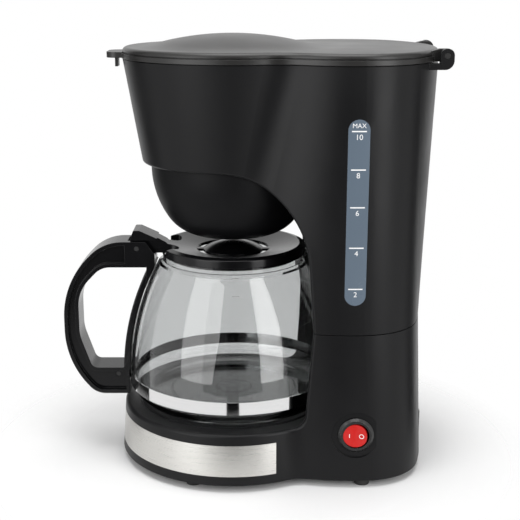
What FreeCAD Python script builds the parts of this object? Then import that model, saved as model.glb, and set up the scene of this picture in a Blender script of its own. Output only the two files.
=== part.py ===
import FreeCAD, Part
import math
import os
import re
from collections import namedtuple

import Sketcher

# A drip coffee maker, in millimetres. It stands on z = 0 with its front towards -Y.
# Every piece is drawn about the brew axis, the upright line through the jug, and placed at the end.

Vector = FreeCAD.Vector
Rotation = FreeCAD.Rotation

SIZES = [
    ("wall", 2.5, "moulded housing wall"),
    ("slip", 0.3, "gap round a piece that lifts out or moves"),
    ("seat_gap", 0.1, "gap round a fixed piece"),
    ("run_gap", 0.05, "gap round a pin that turns"),
    ("margin", 4, "overshoot of a cut past the wall it opens"),
    # Heights, from the table up
    ("foot_height", 5, "rubber foot below the base"),
    ("deck_z", 38.5, "deck round the warming plate"),
    ("plate_rise", 0.7, "warming plate above the deck"),
    ("plate_z", "=deck_z + plate_rise", "top of the warming plate"),
    ("jug_z", "=plate_z + slip", "underside of the glass jug"),
    ("jug_wide", 16.5, "widest place of the jug above its underside"),
    ("jug_wide_z", "=jug_z + jug_wide", "widest place of the jug"),
    ("jug_height", 100.5, "glass jug"),
    ("jug_rim_z", "=jug_z + jug_height", "mouth of the jug"),
    ("island_rise", 7.8, "island of the jug lid above the mouth"),
    ("island_top", "=jug_rim_z + island_rise", "top of that island"),
    ("stem_gap", 2.9, "drip stop above the jug lid"),
    ("stem_tip_z", "=island_top + stem_gap", "lower end of the drip stop"),
    ("nozzle_z", "=stem_tip_z + slip", "lower end of the drip nozzle"),
    ("nozzle_length", 2.5, "drip nozzle below the bowl"),
    ("bowl_floor_z", "=nozzle_z + nozzle_length", "underside of the brew bowl"),
    ("bowl_depth", 48.5, "brew bowl below the brew head"),
    ("arch_z", "=bowl_floor_z + bowl_depth", "lower edge of the brew head"),
    ("head_rise", 66.5, "brew head, lower to top edge"),
    ("rim_z", "=arch_z + head_rise", "top edge of the upper housing"),
    ("column_rise", 65, "joint between base and upper housing above the deck"),
    ("seam_z", "=deck_z + column_rise", "that joint"),
    # Plan of the housing
    ("jug_radius", 70, "jug at its widest"),
    ("bowl_radius", 53.5, "brew bowl under the brew head"),
    ("head_wall", 16.5, "top edge of the brew head past the bowl"),
    ("rim_front", "=bowl_radius + head_wall", "top edge: round of the brew head"),
    ("bay_clear", 8, "jug and brew head to the column behind them"),
    ("bay_back", "=max(jug_radius; rim_front) + bay_clear", "hollow front wall of the column"),
    ("bay_radius", 100, "round of that wall"),
    ("bay_reach", 140, "how far the jug bay is cut out to the front"),
    ("side_lead", 3, "widest place of the sides ahead of that wall"),
    ("side_y", "=bay_back - side_lead", "where the side walls are widest"),
    ("base_lead", 7, "base ahead of the jug"),
    ("base_front", "=jug_radius + base_lead", "base at the table: round of the front"),
    ("base_waist", 25, "base at the table: hollow of the waist"),
    ("base_half", 69.5, "base at the table: half width"),
    ("base_side", 120, "base at the table: round of a side"),
    ("base_corner", 38, "base at the table: rear corner"),
    ("base_depth", 50.3, "rear wall at the table behind the column's front"),
    ("base_rear", "=bay_back + base_depth", "base at the table: rear wall"),
    ("base_back", 150, "base at the table: round of the back"),
    ("front_lean", 7, "lean of the base's front up to the seam"),
    ("low_front", "=base_front - front_lean", "base carried up to the seam: round of the front"),
    ("rim_waist", 30, "top edge: hollow of the waist"),
    ("rim_half", 76.5, "top edge: half width"),
    ("rim_side", 70, "top edge: round of a side"),
    ("rim_corner", 45, "top edge: rear corner"),
    ("rim_depth", 53.5, "rear wall at the top behind the column's front"),
    ("rim_rear", "=bay_back + rim_depth", "top edge: rear wall"),
    ("rim_back", 100, "top edge: round of the back"),
    ("head_lean", 11.28485, "lean of the brew head's front, top to lower edge"),
    ("front_rake", "=head_lean * (rim_z - seam_z) / head_rise", "that lean carried down to the seam"),
    ("seam_front", "=rim_front - front_rake", "upper housing at the seam: round of the front"),
    ("seam_waist", 45, "upper housing at the seam: hollow of the waist"),
    ("seam_half", 69.8, "housing at the seam: half width"),
    ("seam_side", 120, "housing at the seam: round of a side"),
    ("seam_corner", 40, "housing at the seam: rear corner"),
    ("seam_depth", 46.2, "rear wall at the seam behind the column's front"),
    ("seam_rear", "=bay_back + seam_depth", "housing at the seam: rear wall"),
    ("seam_back", 150, "housing at the seam: round of the back"),
    ("seam_gap", 0.6, "shadow line at the seam"),
    ("column_top_lead", 33.8, "column's front edge under the brew head ahead of its middle"),
    ("column_top", "=bay_back - column_top_lead", "front edge of the column under the brew head"),
    ("column_seam_lead", 26.4, "column's front edge at the seam ahead of its middle"),
    ("column_seam", "=bay_back - column_seam_lead", "front edge of the column at the seam"),
    ("column_low_lead", 31.8, "column's front edge at the deck ahead of its middle"),
    ("column_low", "=bay_back - column_low_lead", "front edge of the column at the deck"),
    ("column_foot", 10, "round between column and deck"),
    ("bay_round", 2, "rounded edge of deck, column and brew head round the jug"),
    ("arch_round", 58, "sweep from brew head to column"),
    # Feet, cover and trim
    ("foot_radius", 4.8, "rubber foot"),
    ("foot_stem", 2.4, "stem of a foot in the base cover"),
    ("barb_lap", 1, "barb past the stem"),
    ("foot_barb", "=foot_stem + barb_lap", "barb that holds the stem above the cover"),
    ("foot_front_inset", 52, "front feet behind the base's front"),
    ("foot_front", "=base_front - foot_front_inset", "front feet ahead of the brew axis"),
    ("foot_side", 8.5, "feet inside the base's half width"),
    ("foot_round", 10, "feet at least so far inside the front's round"),
    ("foot_x", "=min(base_half - foot_side; sqrt((base_front - foot_round) ^ 2 - foot_front ^ 2))",
     "feet from the middle"),
    ("foot_rear_inset", 44.3, "rear feet ahead of the rear wall"),
    ("foot_rear", "=base_rear - foot_rear_inset", "rear feet behind the brew axis"),
    ("trim_rise", 6, "steel trim above the base's lower edge"),
    ("trim_low", "=foot_height + trim_rise", "steel trim, lower edge"),
    ("trim_drop", 7, "steel trim below the deck"),
    ("trim_high", "=deck_z - trim_drop", "steel trim, upper edge"),
    ("trim_end", 28.3, "steel trim ends behind the brew axis"),
    ("trim_sheet", 0.8, "steel trim sheet"),
    ("cover_sheet", 2.5, "base cover"),
    ("side_lean", "=max(0; base_half - seam_half) / (seam_z - foot_height)", "inward lean of the sides"),
    ("cover_gap", "=slip + side_lean * cover_sheet", "gap round the cover"),
    ("vent_length", 44, "slot in the base cover"),
    ("vent_width", 4, "slot in the base cover"),
    ("vent_pitch", 10, "slot to slot"),
    ("screw_radius", 1.5, "cover screw shank"),
    ("screw_lap", 1.4, "screw head past the shank"),
    ("screw_head", "=screw_radius + screw_lap", "cover screw head"),
    ("screw_rise", 2.2, "height of that head"),
    ("screw_length", 13, "cover screw above its head"),
    ("boss_wall", 2.5, "wall of a screw boss"),
    ("boss_radius", "=screw_radius + boss_wall", "screw boss"),
    ("boss_side", 19.5, "screw bosses inside the base's half width at its narrower end"),
    ("boss_x", "=min(base_half; seam_half) - boss_side", "screw bosses from the middle"),
    ("boss_inset", 39, "front bosses behind the base's front"),
    ("boss_front", "=base_front - boss_inset", "front bosses ahead of the brew axis"),
    ("post_inset", 26.3, "rear posts ahead of the rear wall"),
    ("post_rear", "=base_rear - post_inset", "rear posts behind the brew axis"),
    # Tank, hinge and gauge
    ("tank_floor", 3, "floor of the water tank"),
    ("screen_clear", 6.5, "bowl to the wall between basket and tank"),
    ("screen_radius", "=bowl_radius + screen_clear", "that wall, inside"),
    ("screen_y", 20, "where that wall meets the sides"),
    ("screen_drop", 12.5, "that wall below the top edge"),
    ("screen_z", "=rim_z - screen_drop", "top of that wall"),
    ("hinge_inset", 0.5, "lid pin ahead of the rear wall"),
    ("hinge_y", "=rim_rear - hinge_inset", "lid pin behind the brew axis"),
    ("hinge_rise", 4.1, "lid pin above the top edge"),
    ("hinge_z", "=rim_z + hinge_rise", "lid pin above the table"),
    ("hinge_pin", 1.7, "lid pin radius"),
    ("ear_wall", 2.5, "ear round its pin"),
    ("ear_round", "=hinge_pin + ear_wall", "round of an ear about its pin"),
    ("ear_x", 41.5, "inner face of a lid hinge ear"),
    ("ear_width", 5, "hinge ear"),
    ("ear_depth", 4.3, "ear below the top edge"),
    ("ear_lobe", 5.5, "round under an ear"),
    ("knuckle_width", 4.6, "lid knuckle inside an ear"),
    ("knuckle_wall", 2.2, "knuckle round its pin"),
    ("knuckle_round", "=hinge_pin + knuckle_wall", "round of a knuckle"),
    ("gauge_lag", 1.3, "water gauge behind the widest place"),
    ("gauge_y", "=side_y + gauge_lag", "water gauge behind the brew axis"),
    ("gauge_width", 13, "water gauge"),
    ("gauge_rise", 19.5, "gauge above the seam"),
    ("gauge_low", "=seam_z + gauge_rise", "lower end of the gauge"),
    ("gauge_drop", 30.5, "gauge below the top edge"),
    ("gauge_high", "=rim_z - gauge_drop", "upper end of the gauge"),
    # Brew path
    ("bowl_lap", 1.4, "rim of the bowl past its side"),
    ("bowl_flange", "=bowl_radius + bowl_lap", "rim of the bowl on the brew head's floor"),
    ("bowl_sheet", 2, "wall of the bowl"),
    ("bowl_bend_rise", 26.5, "where the bowl turns in, above its underside"),
    ("bowl_bend_z", "=bowl_floor_z + bowl_bend_rise", "where the bowl turns in"),
    ("bowl_draft", 0.9, "bowl narrower there"),
    ("bowl_bend", "=bowl_radius - bowl_draft", "bowl there"),
    ("bowl_run", 18.5, "bowl's underside narrower than its side"),
    ("bowl_floor", "=bowl_radius - bowl_run", "flat underside before its round"),
    ("bowl_side_round", 60, "round of the bowl's side"),
    ("bowl_floor_round", 27, "round of the bowl's floor"),
    ("basket_gap", 0.8, "between filter basket and bowl"),
    ("basket_sheet", 1.8, "wall of the basket"),
    ("basket_lift", 6.5, "basket above the bowl's underside"),
    ("basket_floor_z", "=bowl_floor_z + basket_lift", "underside of the basket"),
    ("basket_floor_round", 18, "round of the basket's floor"),
    ("basket_side_round", 48, "round of the basket's side"),
    ("basket_drop", 24.5, "basket below the housing's top edge"),
    ("basket_top", "=rim_z - basket_drop", "top of the basket"),
    ("basket_flare", 3, "basket's mouth past the bowl"),
    ("basket_mouth", "=bowl_radius + basket_flare", "basket at its top"),
    ("basket_lap", 0.7, "basket's shoulder past the bowl's side"),
    ("basket_shoulder", "=bowl_radius + basket_lap", "basket where it rests on the bowl"),
    ("basket_hole", 3.4, "outlet of the basket"),
    ("basket_ribs", 10, "ribs inside the basket"),
    ("rib_width", 1.6, "rib of the basket"),
    ("rib_rise", 30, "ribs above the basket's underside"),
    ("rib_low", "=basket_floor_z + rib_rise", "lower end of those ribs"),
    ("stem_room", 1.1, "gap round the stem in the outlet"),
    ("stem_radius", "=basket_hole - stem_room", "drip stop stem"),
    ("seal_lap", 2.6, "seal past the outlet"),
    ("seal_radius", "=basket_hole + seal_lap", "seal under the head"),
    ("seal_height", 1.2, "that seal"),
    ("head_lap", 1, "head past the seal"),
    ("stem_head", "=seal_radius + head_lap", "head over the basket outlet"),
    ("head_height", 1.8, "that head"),
    ("spring_room", 1.4, "spring wire's middle past the stem"),
    ("spring_radius", "=stem_radius + spring_room", "drip stop spring, to the wire's middle"),
    ("spring_wire", 0.35, "spring wire radius"),
    ("spring_turns", 4, "turns of the spring"),
    ("button_lap", 1.3, "button past the spring"),
    ("stem_button", "=spring_radius + button_lap", "button that the jug lid lifts"),
    ("button_height", 2.5, "that button"),
    ("nozzle_room", 2.5, "coffee's way round the button"),
    ("nozzle_bore", "=stem_button + nozzle_room", "drip nozzle, inside"),
    ("nozzle_wall", 2.5, "wall of the nozzle"),
    ("nozzle_radius", "=nozzle_bore + nozzle_wall", "drip nozzle"),
    # Top lid
    ("lid_gap", 0.5, "between housing and lid"),
    ("lid_band", 3, "lower step of the lid's edge"),
    ("lid_proud", 0.7, "that step past the housing"),
    ("lid_groove", 0.6, "groove over that step"),
    ("lid_edge", 6.8, "lid's edge, whole height"),
    ("lid_round", 2.9, "round of the lid's edge"),
    ("lid_sheet", 2.2, "lid wall"),
    ("lid_skirt", 6, "locating skirt below the lid"),
    ("skirt_inset", 4.2, "that skirt inside the housing's outline"),
    ("skirt_sheet", 1.5, "that skirt"),
    ("dome_margin", 4.5, "foot of the dome inside the front edge"),
    ("dome_radius", "=rim_front - dome_margin", "dome of the lid, at its foot"),
    ("dome_rise", 7.9, "dome above the lid's flat"),
    ("dome_hollow", 0.3, "share of the dome's rise in its hollow foot"),
    ("tab_width", 26, "finger tab"),
    ("tab_run", 9.7, "finger tab past the front edge"),
    ("tab_reach", "=rim_front + tab_run", "end of the tab ahead of the brew axis"),
    ("tab_height", 3.6, "finger tab"),
    ("prong_gap", 3, "prong under the tab past the front edge"),
    ("prong_y", "=rim_front + prong_gap", "locating prong under the tab"),
    ("prong_length", 6, "that prong"),
    ("prong_sheet", 1.8, "that prong"),
    # Warming plate and heater
    ("plate_sheet", 1.2, "warming plate"),
    ("plate_inset", 6, "warming plate inside the jug's widest place"),
    ("plate_radius", "=jug_radius - plate_inset", "warming plate with its flange"),
    ("plate_lap", 5.5, "flange of the plate on the deck"),
    ("plate_hole", "=plate_radius - plate_lap", "opening in the deck"),
    ("ring_height", 0.8, "silicone ring under the flange"),
    ("ring_width", 4.5, "that ring"),
    ("stud_radius", 2, "stud under the plate"),
    ("stud_length", 22, "that stud"),
    ("tube_wall", 1, "water tube wall"),
    ("tube_bore", 3, "water tube inside"),
    ("tube_radius", "=tube_bore + tube_wall", "water tube outside"),
    ("tube_reach", 17, "water tube past the casting"),
    ("tube_inset", 6, "tube from the casting's inner side"),
    ("heater_inset", 28.5, "water tube's turn inside the deck's opening"),
    ("heater_bend", "=plate_hole - heater_inset", "water tube's turn under the plate"),
    ("heater_leg", 27, "straight legs behind the brew axis"),
    ("heater_width", 24, "heater casting"),
    ("heater_height", 14, "heater casting"),
    ("heater_drop", 9, "tube and rod below the casting's top"),
    ("rod_radius", 3.2, "heating rod"),
    ("rod_reach", 9, "heating rod past the casting"),
    ("rod_pitch", 11.5, "tube to rod"),
    ("clamp_lap", 2, "clamp bar past the casting"),
    ("clamp_length", "=(heater_bend - tube_inset + heater_width + clamp_lap) * 2", "clamp bar"),
    ("clamp_width", 14, "clamp bar"),
    ("clamp_sheet", 1.6, "clamp bar"),
    ("nut_wall", 2, "nut past its stud"),
    ("nut_radius", "=stud_radius + nut_wall", "nut on the stud, across corners"),
    ("nut_height", 3.2, "nut on the stud"),
    ("stat_radius", 8.5, "thermostat"),
    ("stat_height", 7, "thermostat"),
    ("stat_strap", 1, "strap that holds it"),
    ("stat_strap_length", 30, "strap that holds it"),
    ("stat_strap_width", 8, "strap that holds it"),
    ("fuse_radius", 2.2, "thermal fuse in its sleeve"),
    ("fuse_length", 16, "thermal fuse"),
    # Water path
    ("hose_wall", 2.4, "silicone hose"),
    ("hose_grip", 11, "hose over a tube"),
    ("hose_bend", 25, "hose turning up into the column"),
    ("pipe_x", "=heater_bend", "hoses and riser from the middle, in line with the heater's tube"),
    ("pipe_run", 22, "hoses and riser behind the column's front"),
    ("pipe_y", "=bay_back + pipe_run", "hoses and riser behind the brew axis"),
    ("spigot_length", 9, "tank outlet below its floor"),
    ("spigot_wall", 1.5, "tank outlet wall"),
    ("spigot_radius", "=tube_bore + spigot_wall", "tank outlet"),
    ("valve_wall", 2.5, "check valve round the outlet"),
    ("valve_radius", "=spigot_radius + valve_wall", "check valve body"),
    ("valve_length", 22, "check valve body"),
    ("valve_tail", 12, "its lower tube"),
    ("ball_lap", 0.4, "ball past its seat"),
    ("ball_radius", "=tube_bore + ball_lap", "its ball"),
    ("ball_room", 0.8, "gap round the ball"),
    ("valve_chamber", "=ball_radius + ball_room", "its chamber"),
    ("ball_lift", 3, "ball to its upper seat"),
    ("riser_rise", 23.5, "riser above the deck"),
    ("riser_low", "=deck_z + riser_rise", "lower end of the riser"),
    ("arm_drop", 4.5, "spout arm below the housing's top edge"),
    ("arm_z", "=rim_z - arm_drop", "spout arm above the table"),
    ("riser_drop", 12, "riser below the spout arm"),
    ("riser_high", "=arm_z - riser_drop", "upper end of the riser"),
    ("seal_wall", 3, "riser seal round the tube"),
    ("seal_ring", "=tube_radius + seal_wall", "riser seal in the tank floor"),
    ("seal_lip", 1.5, "lip of that seal past its hole"),
    ("seal_ring_lip", "=seal_ring + seal_lip", "lip of that seal"),
    ("arm_wall", 1.6, "wall of the spout arm"),
    ("arm_radius", "=tube_radius + arm_wall", "spout arm"),
    ("rose_radius", 19, "shower rose"),
    ("rose_height", 5, "shower rose"),
    ("rose_hole", 1.6, "hole of the rose"),
    ("rose_ring", 12, "ring of those holes"),
    ("rose_count", 8, "holes in that ring"),
    # Switch and cord inlet
    ("switch_lag", 4, "switch behind the widest place"),
    ("switch_y", "=side_y + switch_lag", "switch behind the brew axis"),
    ("switch_rise", 31.4, "switch above the base's lower edge"),
    ("switch_z", "=foot_height + switch_rise", "switch above the table"),
    ("switch_sink", 1.4, "flat under the switch bezel inside the wall"),
    ("switch_share", "=switch_rise / (seam_z - foot_height)", "switch's place between table and seam"),
    ("switch_face", "=base_half + (seam_half - base_half) * switch_share - switch_sink", "that flat"),
    ("switch_barrel", 9.9, "switch body in its hole"),
    ("switch_depth", 20, "switch body behind the wall"),
    ("bezel_lap", 1.6, "bezel past the hole"),
    ("bezel_radius", "=switch_barrel + bezel_lap", "switch bezel"),
    ("bezel_height", 2.4, "switch bezel"),
    ("dish_run", 4, "dish past the bezel"),
    ("dish_radius", "=bezel_radius + dish_run", "shallow dish round the switch"),
    ("switch_wall", 1.5, "wall of the switch body"),
    ("well_radius", "=switch_barrel - switch_wall", "opening for the rocker"),
    ("well_depth", 9, "opening for the rocker"),
    ("rocker_gap", 0.8, "gap round the rocker"),
    ("rocker_radius", "=well_radius - rocker_gap", "rocker"),
    ("rocker_face", 3.2, "rocker face past the wall's flat"),
    ("rocker_root", 5, "rocker below that flat"),
    ("rocker_hollow", 26, "hollow of the rocker's face"),
    ("rocker_pivot", 2.5, "rocker pivot below that flat"),
    ("pivot_radius", 1, "rocker pivot"),
    ("rocker_tilt", 7, "rocker turned to on"),
    ("blade_length", 6.5, "switch terminal"),
    ("blade_width", 4.8, "switch terminal"),
    ("blade_sheet", 0.8, "switch terminal"),
    ("blade_pitch", 6, "switch terminals"),
    ("inlet_rise", 15, "cord inlet above the base's lower edge"),
    ("inlet_z", "=foot_height + inlet_rise", "cord inlet above the table"),
    ("inlet_bore", 3.6, "cord inlet"),
    ("inlet_wall", 2.4, "inlet bush"),
    ("inlet_half", "=inlet_bore + inlet_wall", "half of the square bush in its hole"),
    ("inlet_lap", 2, "flange past that hole"),
    ("inlet_flange", "=inlet_half + inlet_lap", "half of the bush's flange"),
    ("inlet_sheet", 2, "flange of the bush"),
    ("inlet_length", 11, "inlet bush"),
    # Jug
    ("jug_bulge", 165, "sweep of the jug's side"),
    ("jug_heel", 14, "round of the jug's heel"),
    ("jug_glass", 2.2, "glass wall"),
    ("jug_neck", 6, "neck under the mouth"),
    ("jug_neck_z", "=jug_rim_z - jug_neck", "where the side ends"),
    ("mouth_inset", 22.6, "mouth narrower than the jug's widest place"),
    ("jug_mouth", "=jug_radius - mouth_inset", "jug at its mouth"),
    ("punt_inset", 26, "hollow under the jug inside its widest place"),
    ("punt_radius", "=jug_radius - punt_inset", "hollow under the jug"),
    ("punt_rise", 2.4, "hollow under the jug"),
    ("dimple_radius", 12.5, "dimple in the middle of that hollow"),
    ("dimple_rise", 1, "that dimple"),
    ("spout_run", 7.4, "pouring lip past the mouth"),
    ("spout_reach", "=jug_mouth + spout_run", "pouring lip behind the jug's axis"),
    ("spout_radius", 14, "pouring lip"),
    ("spout_drop", 15, "pouring lip below the mouth"),
    ("band_drop", 5.3, "steel band below the widest place"),
    ("band_low", "=jug_wide_z - band_drop", "steel band, lower edge"),
    ("band_width", 8.3, "steel band on the jug"),
    ("band_high", "=band_low + band_width", "steel band, upper edge"),
    ("band_sheet", 0.8, "steel band on the jug"),
    ("tail_run", 14, "ends of the band past the jug"),
    ("band_tail", "=jug_radius + tail_run", "ends of the band ahead of the axis"),
    ("band_split", 2.4, "between the ends of the band"),
    ("handle_width", 21, "jug handle"),
    ("handle_run", 44, "jug handle past the jug"),
    ("handle_reach", "=jug_radius + handle_run", "jug handle ahead of the axis"),
    ("handle_lift", 2.5, "handle above the jug's underside"),
    ("handle_low", "=jug_z + handle_lift", "underside of the handle"),
    ("handle_rise", 8.5, "handle above the jug's mouth"),
    ("handle_top", "=jug_rim_z + handle_rise", "top of the handle"),
    ("grip_sheet", 10, "grip, front to back"),
    ("strap_sheet", 5, "handle strap along the glass"),
    ("loop_sill", 1.5, "finger gap above the band"),
    ("loop_low", "=band_high + loop_sill", "finger gap, lower end"),
    ("brow_height", 17.3, "handle above the finger gap"),
    ("loop_high", "=handle_top - brow_height", "finger gap, upper end"),
    ("brow_slope", 28, "slope between the handle's top and the grip"),
    ("brow_round", 30, "round where that slope leaves the top"),
    ("grip_round", 60, "round of the grip's front"),
    ("chin_rise", 22.3, "slope under the grip, height"),
    ("chin_run", 20.1, "slope under the grip, depth"),
    ("chin_round", 14, "round where that slope meets the underside"),
    ("loop_top_run", 26, "upper corner of the finger gap, behind the grip's front"),
    ("loop_top_drop", 16.7, "upper corner of the finger gap, height"),
    ("loop_top_round", 14, "upper corner of the finger gap"),
    ("loop_foot_run", 18, "lower corner of the finger gap, behind the grip's front"),
    ("loop_foot_rise", 23.5, "lower corner of the finger gap, height"),
    ("loop_foot_round", 5, "lower corner of the finger gap"),
    ("loop_round", 27, "round of the finger gap's front"),
    ("handle_rim", 2.5, "rim round the hollow side of the handle"),
    ("handle_hollow", 3.5, "depth of that hollow"),
    ("pivot_run", 16.6, "jug lid pin past the mouth"),
    ("pivot_y", "=jug_mouth + pivot_run", "jug lid pin ahead of the axis"),
    ("pivot_rise", 4, "jug lid pin above the mouth"),
    ("pivot_z", "=jug_rim_z + pivot_rise", "jug lid pin above the table"),
    ("lid_pin", 1.5, "jug lid pin radius"),
    ("cheek", 4.3, "handle's cheek beside the lid's arm"),
    ("arm_width", "=handle_width - cheek * 2", "jug lid arm between the cheeks"),
    ("collar_lap", 1.1, "jug lid past the mouth"),
    ("collar_radius", "=jug_mouth + collar_lap", "jug lid"),
    ("collar_height", 5.2, "edge of the jug lid"),
    ("plug_gap", 2.2, "gap round the plug of the jug lid"),
    ("plug_radius", "=jug_mouth - jug_glass - plug_gap", "plug of the jug lid in the mouth"),
    ("plug_depth", 2.6, "plug of the jug lid"),
    ("plug_sheet", 2, "plug of the jug lid"),
    ("island_radius", 20, "island between the slots"),
    ("brew_slot", 4.5, "slots that let the coffee in"),
    ("brew_ring", "=island_radius + brew_slot", "those slots, outside"),
    ("bridge_width", 5, "bridges that hold the island"),
    ("lid_notch", 15, "notches beside the jug lid's arm"),
    ("notch_run", 13, "those notches inside the lid's edge"),
    ("notch_round", 6, "inner end of a notch"),
    ("thumb_inset", 1, "thumb lever inside the handle's width"),
    ("thumb_width", "=handle_width - thumb_inset * 2", "thumb lever"),
    ("thumb_rise", 16, "thumb lever above the mouth"),
    ("thumb_top", "=jug_rim_z + thumb_rise", "thumb lever above the table"),
]

doc = FreeCAD.newDocument("drip_coffee_maker")
size = doc.addObject("Spreadsheet::Sheet", "size")
for row, (alias, number, meaning) in enumerate(SIZES, start=1):
    size.set(f"A{row}", meaning)
    size.set(f"B{row}", str(number))
    size.setAlias(f"B{row}", alias)
doc.recompute()
ALIASES = {alias for alias, number, meaning in SIZES}

Bend = namedtuple("Bend", "radius side")
Level = namedtuple("Level", "front waist half side corner rear back")
RIM = Level("rim_front", "rim_waist", "rim_half", "rim_side", "rim_corner", "rim_rear", "rim_back")
SEAM = Level("seam_front", "seam_waist", "seam_half", "seam_side", "seam_corner", "seam_rear", "seam_back")
BASE = Level("base_front", "base_waist", "base_half", "base_side", "base_corner", "base_rear", "base_back")
LOW = SEAM._replace(front="low_front", waist="base_waist")
CENTRE = 3
ORIGIN = (-1, 1)


# Expressions, sketches and features

def full(text):
    """Name the sheet in an expression: wall * 2 becomes size.wall * 2."""
    return re.sub(r"[a-z_]+", lambda word: "size." + word[0] if word[0] in ALIASES else word[0], str(text))


def value(text):
    return float(size.evalExpression(str(text)))


def bind(thing, name, text):
    thing.setExpression(name, full(text))


def new_sketch(body, plane, offset="0"):
    """Sketch on a plane of a body, or a free one at a height when body is None."""
    if body is None:
        sketch = doc.addObject("Sketcher::SketchObject", "outline")
        bind(sketch, "Placement.Base.z", offset)
        return sketch
    sketch = body.newObject("Sketcher::SketchObject", "outline")
    sketch.AttachmentSupport = [(origin_feature(body, plane + "_Plane"), "")]
    sketch.MapMode = "FlatFace"
    bind(sketch, "AttachmentOffset.Base.z", offset)
    return sketch


def constrain(sketch, rules):
    """Add (constraint, expression) pairs; the expression is None for a geometric one."""
    first = sketch.ConstraintCount
    sketch.addConstraint([rule for rule, text in rules])
    for index, (rule, text) in enumerate(rules, start=first):
        if text is not None:
            bind(sketch, f"Constraints[{index}]", text)


def pinned(geometry, position, point, x, y):
    """Rules that hold a point at two expressions."""
    return [
        (Sketcher.Constraint("DistanceX", *ORIGIN, geometry, position, point.x), x),
        (Sketcher.Constraint("DistanceY", *ORIGIN, geometry, position, point.y), y),
    ]


def arc_between(sketch, start, end, centre, left):
    """Arc from start to end, turning left or right; returns its id and its two end positions."""
    circle = Part.Circle(centre, Vector(0, 0, 1), (start - centre).Length)
    begin, finish = (start, end) if left else (end, start)
    angles = [math.atan2(p.y - centre.y, p.x - centre.x) for p in (begin, finish)]
    number = sketch.addGeometry(Part.ArcOfCircle(circle, *angles))
    return (number, 1, 2) if left else (number, 2, 1)


def round_ends(before, corner, after, radius):
    """Tangent points and centre of a round at a corner, and whether the path turns left there."""
    back, ahead = (before - corner).normalize(), (after - corner).normalize()
    half = back.getAngle(ahead) / 2
    reach = radius / math.tan(half)
    centre = corner + (back + ahead).normalize() * (radius / math.sin(half))
    left = ahead.x * back.y - ahead.y * back.x > 0
    return corner + back * reach, corner + ahead * reach, centre, left


def draw(sketch, *path):
    """Closed outline of corners (x, y) or (x, y, round), with a Bend between two corners on an arc."""
    corners, bends = [], {}
    for item in path:
        if isinstance(item, Bend):
            bends[len(corners) - 1] = item
        else:
            corners.append(item)
    count = len(corners)
    points = [Vector(value(corner[0]), value(corner[1]), 0) for corner in corners]
    rounds = {}
    for i, corner in enumerate(corners):
        if len(corner) == 3:
            rounds[i] = round_ends(points[i - 1], points[i], points[(i + 1) % count], value(corner[2]))
    edges = []
    for i in range(count):
        after = (i + 1) % count
        start = rounds[i][1] if i in rounds else points[i]
        end = rounds[after][0] if after in rounds else points[after]
        if i in bends:
            chord, radius = end - start, value(bends[i].radius)
            across = Vector(-chord.y, chord.x, 0).normalize() * bends[i].side
            centre = (start + end) / 2 + across * math.sqrt(radius ** 2 - (chord.Length / 2) ** 2)
            edges.append(arc_between(sketch, start, end, centre, bends[i].side > 0))
        else:
            edges.append((sketch.addGeometry(Part.LineSegment(start, end)), 1, 2))
    rules = []
    for i, bend in bends.items():
        rules.append((Sketcher.Constraint("Radius", edges[i][0], value(bend.radius)), bend.radius))
    for i, corner in enumerate(corners):
        came, goes = edges[i - 1], edges[i]
        if i not in rounds:
            rules.append((Sketcher.Constraint("Coincident", came[0], came[2], goes[0], goes[1]), None))
            rules += pinned(goes[0], goes[1], points[i], corner[0], corner[1])
            continue
        first, last, centre, left = rounds[i]
        arc = arc_between(sketch, first, last, centre, left)
        tip = sketch.addGeometry(Part.Point(points[i]), True)
        rules += [
            (Sketcher.Constraint("Tangent", came[0], came[2], arc[0], arc[1]), None),
            (Sketcher.Constraint("Tangent", arc[0], arc[2], goes[0], goes[1]), None),
            (Sketcher.Constraint("Radius", arc[0], value(corner[2])), corner[2]),
            (Sketcher.Constraint("PointOnObject", tip, 1, came[0]), None),
            (Sketcher.Constraint("PointOnObject", tip, 1, goes[0]), None),
        ] + pinned(tip, 1, points[i], corner[0], corner[1])
    constrain(sketch, rules)
    return sketch


def draw_circles(sketch, *circles):
    """Circles given as (x, y, radius)."""
    rules = []
    for x, y, radius in circles:
        centre = Vector(value(x), value(y), 0)
        number = sketch.addGeometry(Part.Circle(centre, Vector(0, 0, 1), value(radius)))
        rules.append((Sketcher.Constraint("Radius", number, value(radius)), radius))
        rules += pinned(number, CENTRE, centre, x, y)
    constrain(sketch, rules)
    return sketch


def draw_slot(sketch, first, last, radius):
    """Slot with round ends about two centres (x, y)."""
    ends = [Vector(value(x), value(y), 0) for x, y in (first, last)]
    along = (ends[1] - ends[0]).normalize()
    left = Vector(-along.y, along.x, 0) * value(radius)
    sides = [(ends[0] - left, ends[1] - left), (ends[1] + left, ends[0] + left)]
    lines = [(sketch.addGeometry(Part.LineSegment(*side)), 1, 2) for side in sides]
    far = arc_between(sketch, sides[0][1], sides[1][0], ends[1], True)
    near = arc_between(sketch, sides[1][1], sides[0][0], ends[0], True)
    ring = [lines[0], far, lines[1], near]
    rules = [(Sketcher.Constraint("Tangent", came[0], came[2], goes[0], goes[1]), None)
             for came, goes in zip(ring, ring[1:] + ring[:1])]
    for arc, centre, place in ((near, ends[0], first), (far, ends[1], last)):
        rules.append((Sketcher.Constraint("Radius", arc[0], value(radius)), radius))
        rules += pinned(arc[0], CENTRE, centre, *place)
    constrain(sketch, rules)
    return sketch


def meet(first, first_radius, second, second_radius):
    """The crossing of two circles on the +X side."""
    line = second - first
    along = (line.Length ** 2 + first_radius ** 2 - second_radius ** 2) / (2 * line.Length)
    across = math.sqrt(first_radius ** 2 - along ** 2)
    unit = Vector(line).normalize()
    crossings = [first + unit * along + Vector(-unit.y, unit.x, 0) * side for side in (across, -across)]
    return max(crossings, key=lambda point: point.x)


def towards(start, goal, distance):
    return start + (goal - start).normalize() * distance


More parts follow.
